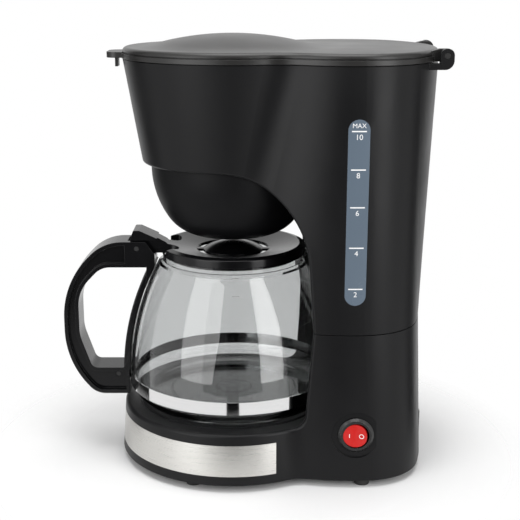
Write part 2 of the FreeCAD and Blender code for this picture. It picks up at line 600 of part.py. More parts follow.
def flipped(point):
    return Vector(-point.x, point.y, 0)


def draw_plan(sketch, level, inset="0"):
    """Plan of the housing: a round front, two hollow waists, two sides, two rear corners and the back."""
    front, waist, half, side, corner, rear, back = (value(name) for name in level)
    axis = Vector(0, 0, 0)
    side_centre = Vector(half - side, value("side_y"), 0)
    back_centre = Vector(0, rear - back, 0)
    waist_centre = meet(axis, front + waist, side_centre, side + waist)
    corner_centre = meet(side_centre, side - corner, back_centre, back - corner)
    step = value(inset)
    joins = [
        towards(axis, waist_centre, front - step),
        towards(side_centre, waist_centre, side - step),
        towards(side_centre, corner_centre, side - step),
        towards(back_centre, corner_centre, back - step),
    ]

    stations = [
        (flipped(joins[0]), joins[0], axis, True, f"{level.front} - ({inset})"),
        (joins[0], joins[1], waist_centre, False, f"{level.waist} + {inset}"),
        (joins[1], joins[2], side_centre, True, f"{level.side} - ({inset})"),
        (joins[2], joins[3], corner_centre, True, f"{level.corner} - ({inset})"),
        (joins[3], flipped(joins[3]), back_centre, True, f"{level.back} - ({inset})"),
        (flipped(joins[3]), flipped(joins[2]), flipped(corner_centre), True, f"{level.corner} - ({inset})"),
        (flipped(joins[2]), flipped(joins[1]), flipped(side_centre), True, f"{level.side} - ({inset})"),
        (flipped(joins[1]), flipped(joins[0]), flipped(waist_centre), False, f"{level.waist} + {inset}"),
    ]
    arcs = [arc_between(sketch, *station[:4]) for station in stations]
    rules = []
    for i, (arc, station) in enumerate(zip(arcs, stations)):
        after = arcs[(i + 1) % len(arcs)]
        rules.append((Sketcher.Constraint("Tangent", arc[0], arc[2], after[0], after[1]), None))
        rules.append((Sketcher.Constraint("Radius", arc[0], value(station[4])), station[4]))
    rules.append((Sketcher.Constraint("Coincident", arcs[0][0], CENTRE, *ORIGIN), None))
    centre_x = f"{level.half} - {level.side}"
    rules += pinned(arcs[2][0], CENTRE, side_centre, centre_x, "side_y")
    rules += pinned(arcs[6][0], CENTRE, flipped(side_centre), f"-({centre_x})", "side_y")
    rules += pinned(arcs[4][0], CENTRE, back_centre, "0", f"{level.rear} - {level.back}")
    constrain(sketch, rules)
    return sketch


def new_body(name):
    return doc.addObject("PartDesign::Body", name)


def feature(body, kind, sketch, **sizes):
    """A sketch-based feature of a body, with sizes bound to expressions."""
    made = body.newObject("PartDesign::" + kind, kind.lower())
    made.Profile = sketch
    for name, text in sizes.items():
        bind(made, name, text)
    return made


def pad(body, sketch, length, both_ways=False, down=False):
    made = feature(body, "Pad", sketch, Length=length)
    made.SideType = "Symmetric" if both_ways else "One side"
    made.Reversed = down
    return made


def pad_discs(body, places, low, radius, height):
    """Upright discs of one size at several places."""
    pad(body, draw_circles(new_sketch(body, "XY", low), *[place + (radius,) for place in places]), height)


def pocket(body, sketch, length, both_ways=False, up=False):
    made = feature(body, "Pocket", sketch, Length=length)
    made.SideType = "Symmetric" if both_ways else "One side"
    made.Reversed = up
    return made


def revolve(body, sketch, kind="Revolution"):
    made = feature(body, kind, sketch)
    made.ReferenceAxis = (sketch, ["V_Axis"])
    made.Angle = 360
    return made


def origin_feature(body, role):
    return next(item for item in body.Origin.OriginFeatures if item.Role == role)


def ring_of(body, original, count):
    """Full ring of copies of one feature about the body's upright axis."""
    ring = body.newObject("PartDesign::PolarPattern", "ring")
    ring.Originals = [original]
    ring.Axis = (origin_feature(body, "Z_Axis"), [""])
    ring.Angle = 360
    bind(ring, "Occurrences", count)
    body.Tip = ring


def turned(name, *path):
    """Body of a profile (radius, z) turned about the brew axis."""
    body = new_body(name)
    revolve(body, draw(new_sketch(body, "XZ"), *path))
    return body


def prism(name, plane, length, *path, offset="0", both_ways=False):
    body = new_body(name)
    pad(body, draw(new_sketch(body, plane, offset), *path), length, both_ways)
    return body


def round_bar(name, direction, place, radius, length):
    """Cylinder from a place, along X, Y or Z."""
    bar = doc.addObject("Part::Cylinder", name)
    bind(bar, "Radius", radius)
    bind(bar, "Height", length)
    bar.Placement.Rotation = Rotation(Vector(0, 0, 1), direction)
    for axis, text in zip("xyz", place):
        bind(bar, "Placement.Base." + axis, text)
    return bar


def square_bar(name, start, half, length):
    """Square bar round the cord inlet's axis, from a distance behind the brew axis."""
    bar = doc.addObject("Part::Box", name)
    for side in ("Length", "Height"):
        bind(bar, side, f"({half}) * 2")
    bind(bar, "Width", length)
    for axis, text in zip("xyz", (f"-({half})", start, f"inlet_z - ({half})")):
        bind(bar, "Placement.Base." + axis, text)
    return bar


def boolean(kind, name, *pieces):
    """Part::Cut of the first piece by the rest, or a MultiFuse or MultiCommon of them all."""
    made = doc.addObject("Part::" + kind, name)
    if kind == "Cut":
        made.Base = pieces[0]
        made.Tool = pieces[1] if len(pieces) == 2 else boolean("MultiFuse", name + "_tools", *pieces[1:])
    else:
        made.Shapes = list(pieces)
    made.Refine = True
    return made


def loft(name, low, low_z, high, high_z, inset="0"):
    """Housing form between two plans."""
    made = doc.addObject("Part::Loft", name)
    made.Sections = [
        draw_plan(new_sketch(None, "XY", low_z), low, inset),
        draw_plan(new_sketch(None, "XY", high_z), high, inset),
    ]
    made.Solid = True
    made.Ruled = True
    return made


X, Y, Z = Vector(1, 0, 0), Vector(0, 1, 0), Vector(0, 0, 1)
SIDES = ("", "-")


# Housing

COVER_TOP = "foot_height + cover_sheet + seat_gap"
FOOT_PLACES = [(side + "foot_x", y) for side in SIDES for y in ("-foot_front", "foot_rear")]
SCREW_PLACES = [(side + "boss_x", y) for side in SIDES for y in ("-boss_front", "post_rear")]


def recess(name, low, high, grow, inside=None):
    """Hollow front of the column between two heights, kept inside the walls."""
    drum = round_bar(name, Z, ("0", "bay_back - bay_radius", low), f"bay_radius + {grow}",
                     f"{high} - ({low})")
    return boolean("MultiCommon", name + "_inside", drum, inside) if inside else drum


def arch(name, grow):
    """Side view of the jug bay under the brew head."""
    return prism(name, "YZ", "bay_reach * 2",
                 ("-bay_reach", "seam_z - margin"),
                 (f"column_seam + {grow}", "seam_z - margin"),
                 (f"column_top + {grow}", f"arch_z + {grow}", f"arch_round + {grow}"),
                 ("-bay_reach", f"arch_z + {grow}"), both_ways=True)


def notch(name, grow):
    """Side view of the jug bay over the deck."""
    return prism(name, "YZ", "bay_reach * 2",
                 ("-bay_reach", f"deck_z - {grow}"),
                 (f"column_low + {grow}", f"deck_z - {grow}", "column_foot"),
                 (f"column_seam + {grow}", "seam_z + margin"),
                 ("-bay_reach", "seam_z + margin"), both_ways=True)


def hinge_ear(side):
    """Ear on the rear wall that carries a lid pin."""
    low = "-ear_x - ear_width" if side else "ear_x"
    root = "rim_rear - rim_back + sqrt(rim_back ^ 2 - (ear_x + ear_width) ^ 2) - wall / 2"
    return prism("hinge_ear", "YZ", "ear_width",
                 (root, "rim_z - lid_gap"),
                 (root, "rim_z - ear_depth"),
                 ("hinge_y + ear_round", "rim_z - ear_depth", "ear_lobe"),
                 ("hinge_y + ear_round", "hinge_z + ear_round", "ear_round - slip"),
                 ("hinge_y - ear_round", "hinge_z + ear_round", "ear_round - slip"),
                 ("hinge_y - ear_round", "rim_z - lid_gap"), offset=low)


def tank_screen(form):
    """Curved wall that keeps the water out of the filter basket."""
    outside, inside = "screen_radius + wall", "screen_radius"
    back_y = "screen_y + wall"
    wall = prism("tank_screen", "XY", "screen_z - arch_z - wall / 2",
                 ("-rim_half", back_y),
                 (f"-sqrt(({outside}) ^ 2 - ({back_y}) ^ 2)", back_y), Bend(outside, -1),
                 (f"sqrt(({outside}) ^ 2 - ({back_y}) ^ 2)", back_y),
                 ("rim_half", back_y),
                 ("rim_half", "screen_y"),
                 (f"sqrt({inside} ^ 2 - screen_y ^ 2)", "screen_y"), Bend(inside, 1),
                 (f"-sqrt({inside} ^ 2 - screen_y ^ 2)", "screen_y"),
                 ("-rim_half", "screen_y"), offset="arch_z + wall / 2")
    return boolean("MultiCommon", "tank_screen_inside", wall, form)


def gauge_slot(name, gap):
    """Upright slot with round ends, through the +X wall."""
    body = new_body(name)
    outline = draw_slot(new_sketch(body, "YZ", "rim_half / 2"),
                        ("gauge_y", "gauge_low + gauge_width / 2"),
                        ("gauge_y", "gauge_high - gauge_width / 2"), f"gauge_width / 2 + {gap}")
    pad(body, outline, "rim_half")
    return body


def softened(name, shell, height, hole):
    """Shell with a round along its front edge at a height, outside a hole, which runs on along the column."""
    doc.recompute()
    level, front = value(height), -value(f"{hole} + slip * 2")
    edges = [f"Edge{number}" for number, edge in enumerate(shell.Shape.Edges, start=1)
             if edge.BoundBox.YMin < front
             and all(abs(point.z - level) < 1e-6 for point in edge.discretize(5))]
    body = new_body(name)
    body.BaseFeature = shell
    doc.recompute()
    edge_round = body.newObject("PartDesign::Fillet", "edge_round")
    edge_round.Base = (body.Group[0], edges)
    bind(edge_round, "Radius", "min(bay_round; wall * 0.9)")
    return body


def upper_housing():
    """Brew head, column and water tank in one moulding, and the gauge window let into its wall."""
    outer = loft("upper_outside", SEAM, "seam_z", RIM, "rim_z")
    inner = loft("upper_inside", SEAM, "seam_z", RIM, "rim_z", "wall")
    middle = loft("upper_middle", SEAM, "seam_z", RIM, "rim_z", "wall / 2")
    floor = prism("tank_floor_block", "XY", "tank_floor + margin",
                  ("-bay_reach", "-bay_reach"), ("bay_reach", "-bay_reach"),
                  ("bay_reach", "bay_reach"), ("-bay_reach", "bay_reach"), offset="seam_z - margin")
    cavity = boolean("Cut", "tank_and_head", inner, floor, arch("arch_wall", "wall"),
                     recess("recess_wall", "seam_z - margin", "arch_z + wall", "wall"))
    bowl_hole = round_bar("bowl_hole", Z, ("0", "0", "arch_z - margin"), "bowl_radius + slip",
                          "wall + margin * 2")
    shell = boolean("Cut", "upper_shell", outer, cavity, arch("arch_cut", "0"), bowl_hole,
                    recess("recess_cut", "seam_z - margin", "arch_z", "0", inner))
    shell = softened("upper_softened", shell, "arch_z", "bowl_radius")
    posts = [round_bar("cover_post", Z, (side + "boss_x", "post_rear", COVER_TOP), "boss_radius",
                       f"seam_z + tank_floor / 2 - ({COVER_TOP})") for side in SIDES]
    spigot = round_bar("spigot", Z, ("pipe_x", "pipe_y", "seam_z - spigot_length"), "spigot_radius",
                       "spigot_length + tank_floor / 2")
    moulding = boolean("MultiFuse", "upper_moulding", shell, tank_screen(middle), spigot, *posts,
                       *[hinge_ear(side) for side in SIDES])
    outlet = round_bar("outlet", Z, ("pipe_x", "pipe_y", "seam_z - spigot_length - margin"), "tube_bore",
                       "spigot_length + tank_floor + margin * 2")
    riser_hole = round_bar("riser_hole", Z, ("-pipe_x", "pipe_y", "seam_z - margin"), "seal_ring",
                           "tank_floor + margin * 2")
    threads = [round_bar("post_thread", Z, (side + "boss_x", "post_rear", "foot_height"),
                         "screw_radius", "screw_length + margin") for side in SIDES]
    pin_hole = round_bar("ear_hole", X, ("-bay_reach", "hinge_y", "hinge_z"), "hinge_pin + run_gap",
                         "bay_reach * 2")
    housing = boolean("Cut", "upper_housing", moulding, outlet, riser_hole, pin_hole,
                      gauge_slot("gauge_opening", "seat_gap"), *threads)
    wall = boolean("Cut", "upper_wall", outer, inner)
    window = boolean("MultiCommon", "level_window", wall, gauge_slot("gauge_strip", "0"))
    return housing, window


def slab(name, low, high, rear, sides="bay_reach"):
    """Block between two heights that ends at a distance behind the brew axis."""
    return prism(name, "XY", f"{high} - ({low})",
                 (f"-{sides}", f"-{sides}"), (sides, f"-{sides}"), (sides, rear), (f"-{sides}", rear),
                 offset=low)


def base_housing():
    """Base and lower column, and the steel trim let into its front."""
    top = "seam_z - seam_gap"
    outer = loft("base_outside", BASE, "foot_height", LOW, top)
    inner = loft("base_inside", BASE, "foot_height", LOW, top, "wall")
    cavity = boolean("Cut", "base_space", inner, notch("notch_wall", "wall"),
                     recess("low_recess_wall", "deck_z - wall", "seam_z + margin", "wall"))
    plate_hole = round_bar("plate_opening", Z, ("0", "0", "deck_z - margin"), "plate_hole", "margin * 2")
    plate_seat = round_bar("plate_seat", Z, ("0", "0", "plate_z - plate_sheet - ring_height"),
                           "plate_radius + slip", "margin * 2")
    shell = boolean("Cut", "base_shell", outer, cavity, notch("notch_cut", "0"), plate_hole, plate_seat,
                    recess("low_recess_cut", "deck_z", "seam_z + margin", "0", inner))
    bosses = [round_bar("front_boss", Z, (side + "boss_x", "-boss_front", COVER_TOP), "boss_radius",
                        f"deck_z - wall + slip - ({COVER_TOP})") for side in SIDES]
    inlet_pad = square_bar("inlet_pad", "base_rear - inlet_length + wall", "inlet_flange + wall / 2",
                           "inlet_length - wall * 1.6")
    shell = softened("base_softened", shell, "deck_z", "plate_radius")
    moulding = boolean("MultiFuse", "base_moulding", shell, inlet_pad, *bosses)
    threads = [round_bar("boss_thread", Z, (side + "boss_x", "-boss_front", "foot_height"),
                         "screw_radius", "screw_length + margin") for side in SIDES]
    switch_hole = round_bar("switch_hole", X, ("switch_face - switch_depth", "switch_y", "switch_z"),
                            "switch_barrel + seat_gap", "switch_depth + margin")
    switch_dish = round_bar("switch_dish", X, ("switch_face", "switch_y", "switch_z"), "dish_radius",
                            "margin")
    inlet_hole = square_bar("inlet_hole", "base_rear - inlet_length - margin", "inlet_half + seat_gap",
                            "inlet_length + margin * 2")
    inlet_seat = square_bar("inlet_seat", "base_rear - inlet_sheet", "inlet_flange + seat_gap", "margin * 2")
    past = loft("base_past", BASE, "foot_height", LOW, top, "-wall")
    under = loft("trim_bed", BASE, "foot_height", LOW, top, "trim_sheet + seat_gap")
    groove = boolean("MultiCommon", "trim_groove", boolean("Cut", "trim_layer", past, under),
                     slab("trim_space", "trim_low - seat_gap", "trim_high + seat_gap", "trim_end + seat_gap"))
    housing = boolean("Cut", "base_housing", moulding, switch_hole, switch_dish, inlet_hole, inlet_seat,
                      groove, *threads)
    lining = loft("trim_lining", BASE, "foot_height", LOW, top, "trim_sheet")
    trim = boolean("MultiCommon", "steel_trim", boolean("Cut", "trim_sheet_all", outer, lining),
                   slab("trim_strip", "trim_low", "trim_high", "trim_end"))
    return housing, trim


def base_cover():
    """Plate that closes the base from below, with air slots and holes for screws and feet."""
    body = new_body("base_cover")
    pad(body, draw_plan(new_sketch(body, "XY", "foot_height"), BASE, "wall + cover_gap"), "cover_sheet")
    holes = new_sketch(body, "XY", "foot_height")
    draw_circles(holes, *[place + ("screw_radius + seat_gap * 2",) for place in SCREW_PLACES])
    draw_circles(holes, *[place + ("foot_stem",) for place in FOOT_PLACES])
    pocket(body, holes, "cover_sheet", up=True)
    half = "(vent_length - vent_width) / 2"
    vents = new_sketch(body, "XY", "foot_height")
    for number in range(-2, 3):
        place = f"vent_pitch * {number}"
        draw_slot(vents, (f"-({half})", place), (half, place), "vent_width / 2")
    pocket(body, vents, "cover_sheet", up=True)
    return body


def feet():
    """Four rubber feet with barbed stems through the cover."""
    body = new_body("feet")
    pad_discs(body, FOOT_PLACES, "0", "foot_radius", "foot_height")
    pad_discs(body, FOOT_PLACES, "foot_height", "foot_stem", "cover_sheet + margin / 2")
    pad_discs(body, FOOT_PLACES, COVER_TOP, "foot_barb", "margin / 2")
    return body


def cover_screws():
    """Four screws up through the cover into the bosses and posts."""
    body = new_body("cover_screws")
    pad_discs(body, SCREW_PLACES, "foot_height - screw_rise", "screw_head", "screw_rise")
    pad_discs(body, SCREW_PLACES, "foot_height", "screw_radius", "screw_length")
    return body


# Brew path

def brew_bowl():
    """Rounded bowl that hangs through the brew head's floor and ends in the drip nozzle."""
    top = "arch_z + wall"
    return turned("brew_bowl",
                  ("nozzle_bore", "nozzle_z"), ("nozzle_radius", "nozzle_z"),
                  ("nozzle_radius", "bowl_floor_z"),
                  ("bowl_floor", "bowl_floor_z", "bowl_floor_round"),
                  ("bowl_bend", "bowl_bend_z", "bowl_side_round"),
                  ("bowl_radius", top), ("bowl_flange", top), ("bowl_flange", top + " + bowl_sheet"),
                  ("bowl_radius - bowl_sheet", top + " + bowl_sheet"),
                  ("bowl_bend - bowl_sheet", "bowl_bend_z + bowl_sheet / 4", "bowl_side_round - bowl_sheet"),
                  ("bowl_floor - bowl_sheet / 2", "bowl_floor_z + bowl_sheet",
                   "bowl_floor_round - bowl_sheet"),
                  ("nozzle_bore", "bowl_floor_z + bowl_sheet"))


def filter_basket():
    """Basket that rests on the bowl's rim, ribbed inside so that a paper filter stands off its wall."""
    shoulder = "arch_z + wall + bowl_sheet + seat_gap"
    outside = "bowl_radius - bowl_sheet - basket_gap"
    bend = "bowl_bend - bowl_sheet - basket_gap"
    floor = "bowl_floor - bowl_sheet - basket_gap"
    inside_bend = f"{bend} - basket_sheet"
    body = turned("filter_basket",
                  ("basket_hole", "basket_floor_z"),
                  (floor, "basket_floor_z", "basket_floor_round"),
                  (bend, "bowl_bend_z + basket_gap", "basket_side_round"),
                  (outside, shoulder), ("basket_shoulder", shoulder),
                  ("basket_mouth", "basket_top"), ("basket_mouth - basket_sheet", "basket_top"),
                  ("basket_shoulder - basket_sheet", shoulder + " + basket_sheet"),
                  (f"{outside} - basket_sheet", shoulder + " + basket_sheet"),
                  (inside_bend, "bowl_bend_z + basket_gap", "basket_side_round - basket_sheet"),
                  (f"{floor} - basket_sheet / 2", "basket_floor_z + basket_sheet",
                   "basket_floor_round - basket_sheet"),
                  ("basket_hole", "basket_floor_z + basket_sheet"))
    rib = draw(new_sketch(body, "XZ"),
               (f"{bend} - basket_sheet * 2", "rib_low"), (f"{bend} - basket_sheet / 2", "rib_low"),
               (f"{outside} - basket_sheet / 2", shoulder + " - basket_sheet"),
               (f"{outside} - basket_sheet * 2", shoulder + " - basket_sheet"))
    ring_of(body, pad(body, rib, "rib_width", both_ways=True), "basket_ribs")
    return body


def drip_stop():
    """Stem that the jug lid lifts, its seal and its spring."""
    seat = "basket_floor_z + basket_sheet + seat_gap"
    head = f"{seat} + seal_height + seat_gap"
    stem = turned("drip_valve",
                  ("0", "stem_tip_z"), ("stem_button", "stem_tip_z"),
                  ("stem_button", "stem_tip_z + button_height"),
                  ("stem_radius", "stem_tip_z + button_height"),
                  ("stem_radius", head), ("stem_head", head), ("stem_head", head + " + head_height"),
                  ("0", head + " + head_height"))
    seal = turned("valve_seal",
                  ("stem_radius + seat_gap", seat), ("seal_radius", seat),
                  ("seal_radius", seat + " + seal_height"),
                  ("stem_radius + seat_gap", seat + " + seal_height"))
    low = "stem_tip_z + button_height + spring_wire + seat_gap"
    rise = f"basket_floor_z - spring_wire - seat_gap - ({low})"
    coil = doc.addObject("Part::Helix", "spring_line")
    bind(coil, "Radius", "spring_radius")
    bind(coil, "Pitch", f"({rise}) / spring_turns")
    bind(coil, "Height", rise)
    bind(coil, "Placement.Base.z", low)
    section = doc.addObject("Part::Circle", "spring_section")
    bind(section, "Radius", "spring_wire")
    section.Placement.Rotation = Rotation(Vector(1, 0, 0), 90)
    bind(section, "Placement.Base.x", "spring_radius")
    bind(section, "Placement.Base.z", low)
    spring = doc.addObject("Part::Sweep", "valve_spring")
    spring.Sections = [section]
    spring.Spine = (coil, [])
    spring.Solid = True
    spring.Frenet = True
    return stem, seal, spring


# Water path

HEATER_TOP = "plate_z - plate_sheet - seat_gap"
TUBE_Z = HEATER_TOP + " - heater_drop"
VALVE_LOW = "seam_z - spigot_length + hose_grip / 2 - valve_length"
BALL_SEAT = "sqrt(ball_radius ^ 2 - tube_bore ^ 2) + seat_gap"


def bent_pipe(name, radius, bore, points, bend):
    """Pipe through points, with tangent arcs of one radius at its corners."""
    places = [Vector(*[value(text) for text in point]) for point in points]
    edges, start = [], places[0]
    for before, corner, after in zip(places, places[1:], places[2:]):
        back, ahead = (before - corner).normalize(), (after - corner).normalize()
        half = back.getAngle(ahead) / 2
        reach = value(bend) / math.tan(half)
        first, last = corner + back * reach, corner + ahead * reach
        middle = corner + (back + ahead).normalize() * (value(bend) / math.sin(half) - value(bend))
        edges += [Part.LineSegment(start, first).toShape(), Part.Arc(first, middle, last).toShape()]
        start = last
    edges.append(Part.LineSegment(start, places[-1]).toShape())
    path = Part.Wire(edges)
    along = (places[1] - places[0]).normalize()
    solids = []
    for size_text in (radius, bore):
        ring = Part.Wire(Part.Circle(places[0], along, value(size_text)).toShape())
        solids.append(path.makePipeShell([ring], True, False))
    pipe = doc.addObject("Part::Feature", name)
    pipe.Shape = solids[0].cut(solids[1])
    return pipe


def hoses():
    """Silicone hoses between heater, check valve and riser."""
    start = "heater_leg + tube_reach - hose_grip"
    outside, inside = "tube_radius + hose_wall", "tube_radius"
    ends = (("inlet_hose", "heater_bend", "pipe_x", VALVE_LOW + " - seat_gap"),
            ("outlet_hose", "-heater_bend", "-pipe_x", "riser_low + hose_grip"))
    return [bent_pipe(name, outside, inside,
                      [(x, start, TUBE_Z), (pipe, "pipe_y", TUBE_Z), (pipe, "pipe_y", top)], "hose_bend")
            for name, x, pipe, top in ends]


def check_valve():
    """Valve under the tank outlet, and the ball that closes it when the water boils."""
    low, top = VALVE_LOW, VALVE_LOW + " + valve_length"
    chamber = f"{low} + wall"
    ceiling = f"{chamber} + ball_lift + ({BALL_SEAT}) * 2"
    body = turned("check_valve",
                  ("tube_bore", f"{low} - valve_tail"), ("tube_radius", f"{low} - valve_tail"),
                  ("tube_radius", low), ("valve_radius", low), ("valve_radius", top),
                  ("spigot_radius + seat_gap", top), ("spigot_radius + seat_gap", "seam_z - spigot_length"),
                  ("tube_bore", "seam_z - spigot_length"), ("tube_bore", ceiling), ("valve_chamber", ceiling),
                  ("valve_chamber", chamber), ("tube_bore", chamber))
    ball = doc.addObject("Part::Sphere", "check_ball")
    bind(ball, "Radius", "ball_radius")
    return body, ball


def riser():
    """Tube up through the tank, its seal in the floor, and the spout arm with the shower rose."""
    tube = bent_pipe("riser_tube", "tube_radius", "tube_bore",
                     [("-pipe_x", "pipe_y", "riser_low"), ("-pipe_x", "pipe_y", "riser_high")], "arm_radius")
    seal = turned("riser_seal",
                  ("tube_radius", "seam_z"), ("seal_ring", "seam_z"),
                  ("seal_ring", "seam_z + tank_floor"), ("seal_ring_lip", "seam_z + tank_floor"),
                  ("seal_ring_lip", "seam_z + tank_floor + wall"),
                  ("tube_radius", "seam_z + tank_floor + wall"))
    return tube, seal


def spout_arm():
    """Arm from the riser to the brew axis, ending in the shower rose over the basket."""
    pipe = bent_pipe("arm_pipe", "arm_radius", "tube_radius",
                     [("-pipe_x", "pipe_y", "riser_high - hose_grip"), ("-pipe_x", "pipe_y", "arm_z"),
                      ("0", "0", "arm_z")], "arm_radius * 2")
    cap = doc.addObject("Part::Sphere", "arm_cap")
    bind(cap, "Radius", "arm_radius")
    bind(cap, "Placement.Base.z", "arm_z")
    rose = new_body("rose")
    low = "arm_z - arm_radius - rose_height + wall"
    pad(rose, draw_circles(new_sketch(rose, "XY", low), ("0", "0", "rose_radius")), "rose_height")
    hole = pocket(rose, draw_circles(new_sketch(rose, "XY", low), ("rose_ring", "0", "rose_hole")),
                  "rose_height / 2", up=True)
    ring_of(rose, hole, "rose_count")
    return boolean("MultiFuse", "spout_arm", pipe, cap, rose)


# Heater

def warming_plate():
    """Plate that keeps the jug warm, with the stud that holds the heater, and its silicone ring."""
    low = "plate_z - plate_sheet"
    plate = turned("warming_plate",
                   ("0", f"{low} - stud_length"), ("stud_radius", f"{low} - stud_length"),
                   ("stud_radius", low),
                   ("plate_radius", low), ("plate_radius", "plate_z - plate_sheet / 2"),
                   ("plate_radius - plate_sheet", "plate_z"), ("0", "plate_z"))
    ring = turned("plate_seal",
                  ("plate_radius - ring_width", f"{low} - ring_height"),
                  ("plate_radius", f"{low} - ring_height"),
                  ("plate_radius", low), ("plate_radius - ring_width", low))
    return plate, ring


def hairpin(name, leg, profile):
    """U-shaped bar under the plate: a half turn at the front and two legs to the rear."""
    body = new_body(name)
    bend = feature(body, "Revolution", profile(new_sketch(body, "XZ")))
    bend.ReferenceAxis = (bend.Profile[0], ["V_Axis"])
    bend.Angle = 180
    bend.Reversed = True
    straight = pad(body, profile(new_sketch(body, "XZ")), leg, down=True)
    other = body.newObject("PartDesign::Mirrored", "other_leg")
    other.Originals = [straight]
    other.MirrorPlane = (origin_feature(body, "YZ_Plane"), [""])
    body.Tip = other
    return body


def heater():
    """Cast heater with its water tube and heating rod, the bar and nut that clamp it, and its cut-outs."""
    inside = "heater_bend - tube_inset"
    outside = f"{inside} + heater_width"
    low = HEATER_TOP + " - heater_height"
    rod_x = "heater_bend + rod_pitch"
    block = hairpin("heater_block", "heater_leg", lambda sketch: draw(
        sketch, (inside, HEATER_TOP), (inside, low, "heater_height / 4"), (outside, low, "heater_height / 4"),
        (outside, HEATER_TOP)))
    spaces = [hairpin("bar_space", "heater_leg + margin", lambda sketch, x=x, radius=radius: draw_circles(
        sketch, (x, TUBE_Z, radius + " + seat_gap")))
        for x, radius in (("heater_bend", "tube_radius"), (rod_x, "rod_radius"))]
    casting = boolean("Cut", "heater_casting", block, *spaces)
    tube = hairpin("water_tube", "heater_leg + tube_reach", lambda sketch: draw_circles(
        sketch, ("heater_bend", TUBE_Z, "tube_radius"), ("heater_bend", TUBE_Z, "tube_bore")))
    rod = hairpin("heating_rod", "heater_leg + rod_reach", lambda sketch: draw_circles(
        sketch, (rod_x, TUBE_Z, "rod_radius")))
    clamp_top = low + " - seat_gap"
    half, depth, end = "clamp_length / 2", "clamp_width / 2", "clamp_width / 2 - seat_gap"
    clamp = prism("heater_clamp", "XY", "clamp_sheet",
                  ("-" + half, "-" + depth, end), (half, "-" + depth, end),
                  (half, depth, end), ("-" + half, depth, end),
                  offset=f"{clamp_top} - clamp_sheet")
    pocket(clamp, draw_circles(new_sketch(clamp, "XY", clamp_top), ("0", "0", "stud_radius + seat_gap")),
           "clamp_sheet")
    nut = new_body("clamp_nut")
    flat = "nut_radius * sqrt(3) / 2"
    corners = [("nut_radius", "0"), ("nut_radius / 2", flat), ("-nut_radius / 2", flat),
               ("-nut_radius", "0"), ("-nut_radius / 2", "-" + flat), ("nut_radius / 2", "-" + flat)]
    sketch = draw(new_sketch(nut, "XY", f"{clamp_top} - clamp_sheet - seat_gap"), *corners)
    draw_circles(sketch, ("0", "0", "stud_radius"))
    pad(nut, sketch, "nut_height", down=True)
    return casting, tube, rod, clamp, nut


def heat_guards():
    """Thermostat under the front of the casting with its strap, and two thermal fuses along the legs."""
    top = HEATER_TOP + " - heater_height - seat_gap"
    middle = "-(heater_bend - tube_inset + heater_width / 2)"
    stat = new_body("thermostat")
    pad(stat, draw_circles(new_sketch(stat, "XY", top), ("0", middle, "stat_radius")), "stat_height / 2",
        down=True)
    pad(stat, draw_circles(new_sketch(stat, "XY", f"{top} - stat_height / 2"),
                           ("0", middle, "stat_radius - stat_strap")), "stat_height / 2", down=True)
    under, reach = f"{top} - stat_height - seat_gap", "stat_strap_length / 2"
    leg = "stat_radius + slip"
    strap = prism("thermostat_strap", "XZ", "stat_strap_width",
                  ("-" + reach, top), ("-" + reach, f"{top} - stat_strap"),
                  (f"-({leg}) - stat_strap", f"{top} - stat_strap"),
                  (f"-({leg}) - stat_strap", f"{under} - stat_strap"),
                  (f"{leg} + stat_strap", f"{under} - stat_strap"),
                  (f"{leg} + stat_strap", f"{top} - stat_strap"),
                  (reach, f"{top} - stat_strap"), (reach, top), (leg, top), (leg, under),
                  (f"-({leg})", under), (f"-({leg})", top),
                  offset=f"-({middle}) - stat_strap_width / 2")
    fuse = new_body("thermal_fuses")
    fuse_x = "heater_bend - tube_inset - fuse_radius - seat_gap"
    pad(fuse, draw_circles(new_sketch(fuse, "XZ"), (fuse_x, TUBE_Z, "fuse_radius"),
                           (f"-({fuse_x})", TUBE_Z, "fuse_radius")), "fuse_length", down=True)
    return stat, strap, fuse


# Switch and cord inlet

def power_switch():
    """Round rocker switch, drawn with its face up about its own middle."""
    body = turned("switch_body",
                  ("0", "-switch_depth"), ("switch_barrel", "-switch_depth"), ("switch_barrel", "0"),
                  ("bezel_radius", "0"), ("bezel_radius", "bezel_height / 3"),
                  ("bezel_radius - bezel_height * 2 / 3", "bezel_height"), ("well_radius", "bezel_height"),
                  ("well_radius", "bezel_height - well_depth"), ("0", "bezel_height - well_depth"))
    pocket(body, draw_circles(new_sketch(body, "YZ"), ("0", "-rocker_pivot", "pivot_radius + run_gap")),
           "(well_radius + pivot_radius * 1.2) * 2", both_ways=True)
    rocker = turned("switch_rocker",
                    ("0", "rocker_pivot - rocker_root"), ("rocker_radius", "rocker_pivot - rocker_root"),
                    ("rocker_radius", "rocker_pivot + rocker_face"), ("0", "rocker_pivot + rocker_face"))
    hollow = "rocker_pivot + rocker_face + rocker_hollow - rocker_radius ^ 2 / rocker_hollow / 2"
    pocket(rocker, draw_circles(new_sketch(rocker, "YZ"), ("0", hollow, "rocker_hollow")),
           "rocker_radius * 3", both_ways=True)
    pad(rocker, draw_circles(new_sketch(rocker, "YZ"), ("0", "0", "pivot_radius")),
        "(well_radius + pivot_radius) * 2", both_ways=True)
    blades = new_body("switch_terminals")
    sketch = new_sketch(blades, "XY", "-switch_depth")
    for number in (-1, 0, 1):
        low, high = f"blade_pitch * {number} - blade_sheet / 2", f"blade_pitch * {number} + blade_sheet / 2"
        draw(sketch, ("-blade_width / 2", low), ("blade_width / 2", low), ("blade_width / 2", high),
             ("-blade_width / 2", high))
    pad(blades, sketch, "blade_length", down=True)
    return body, rocker, blades


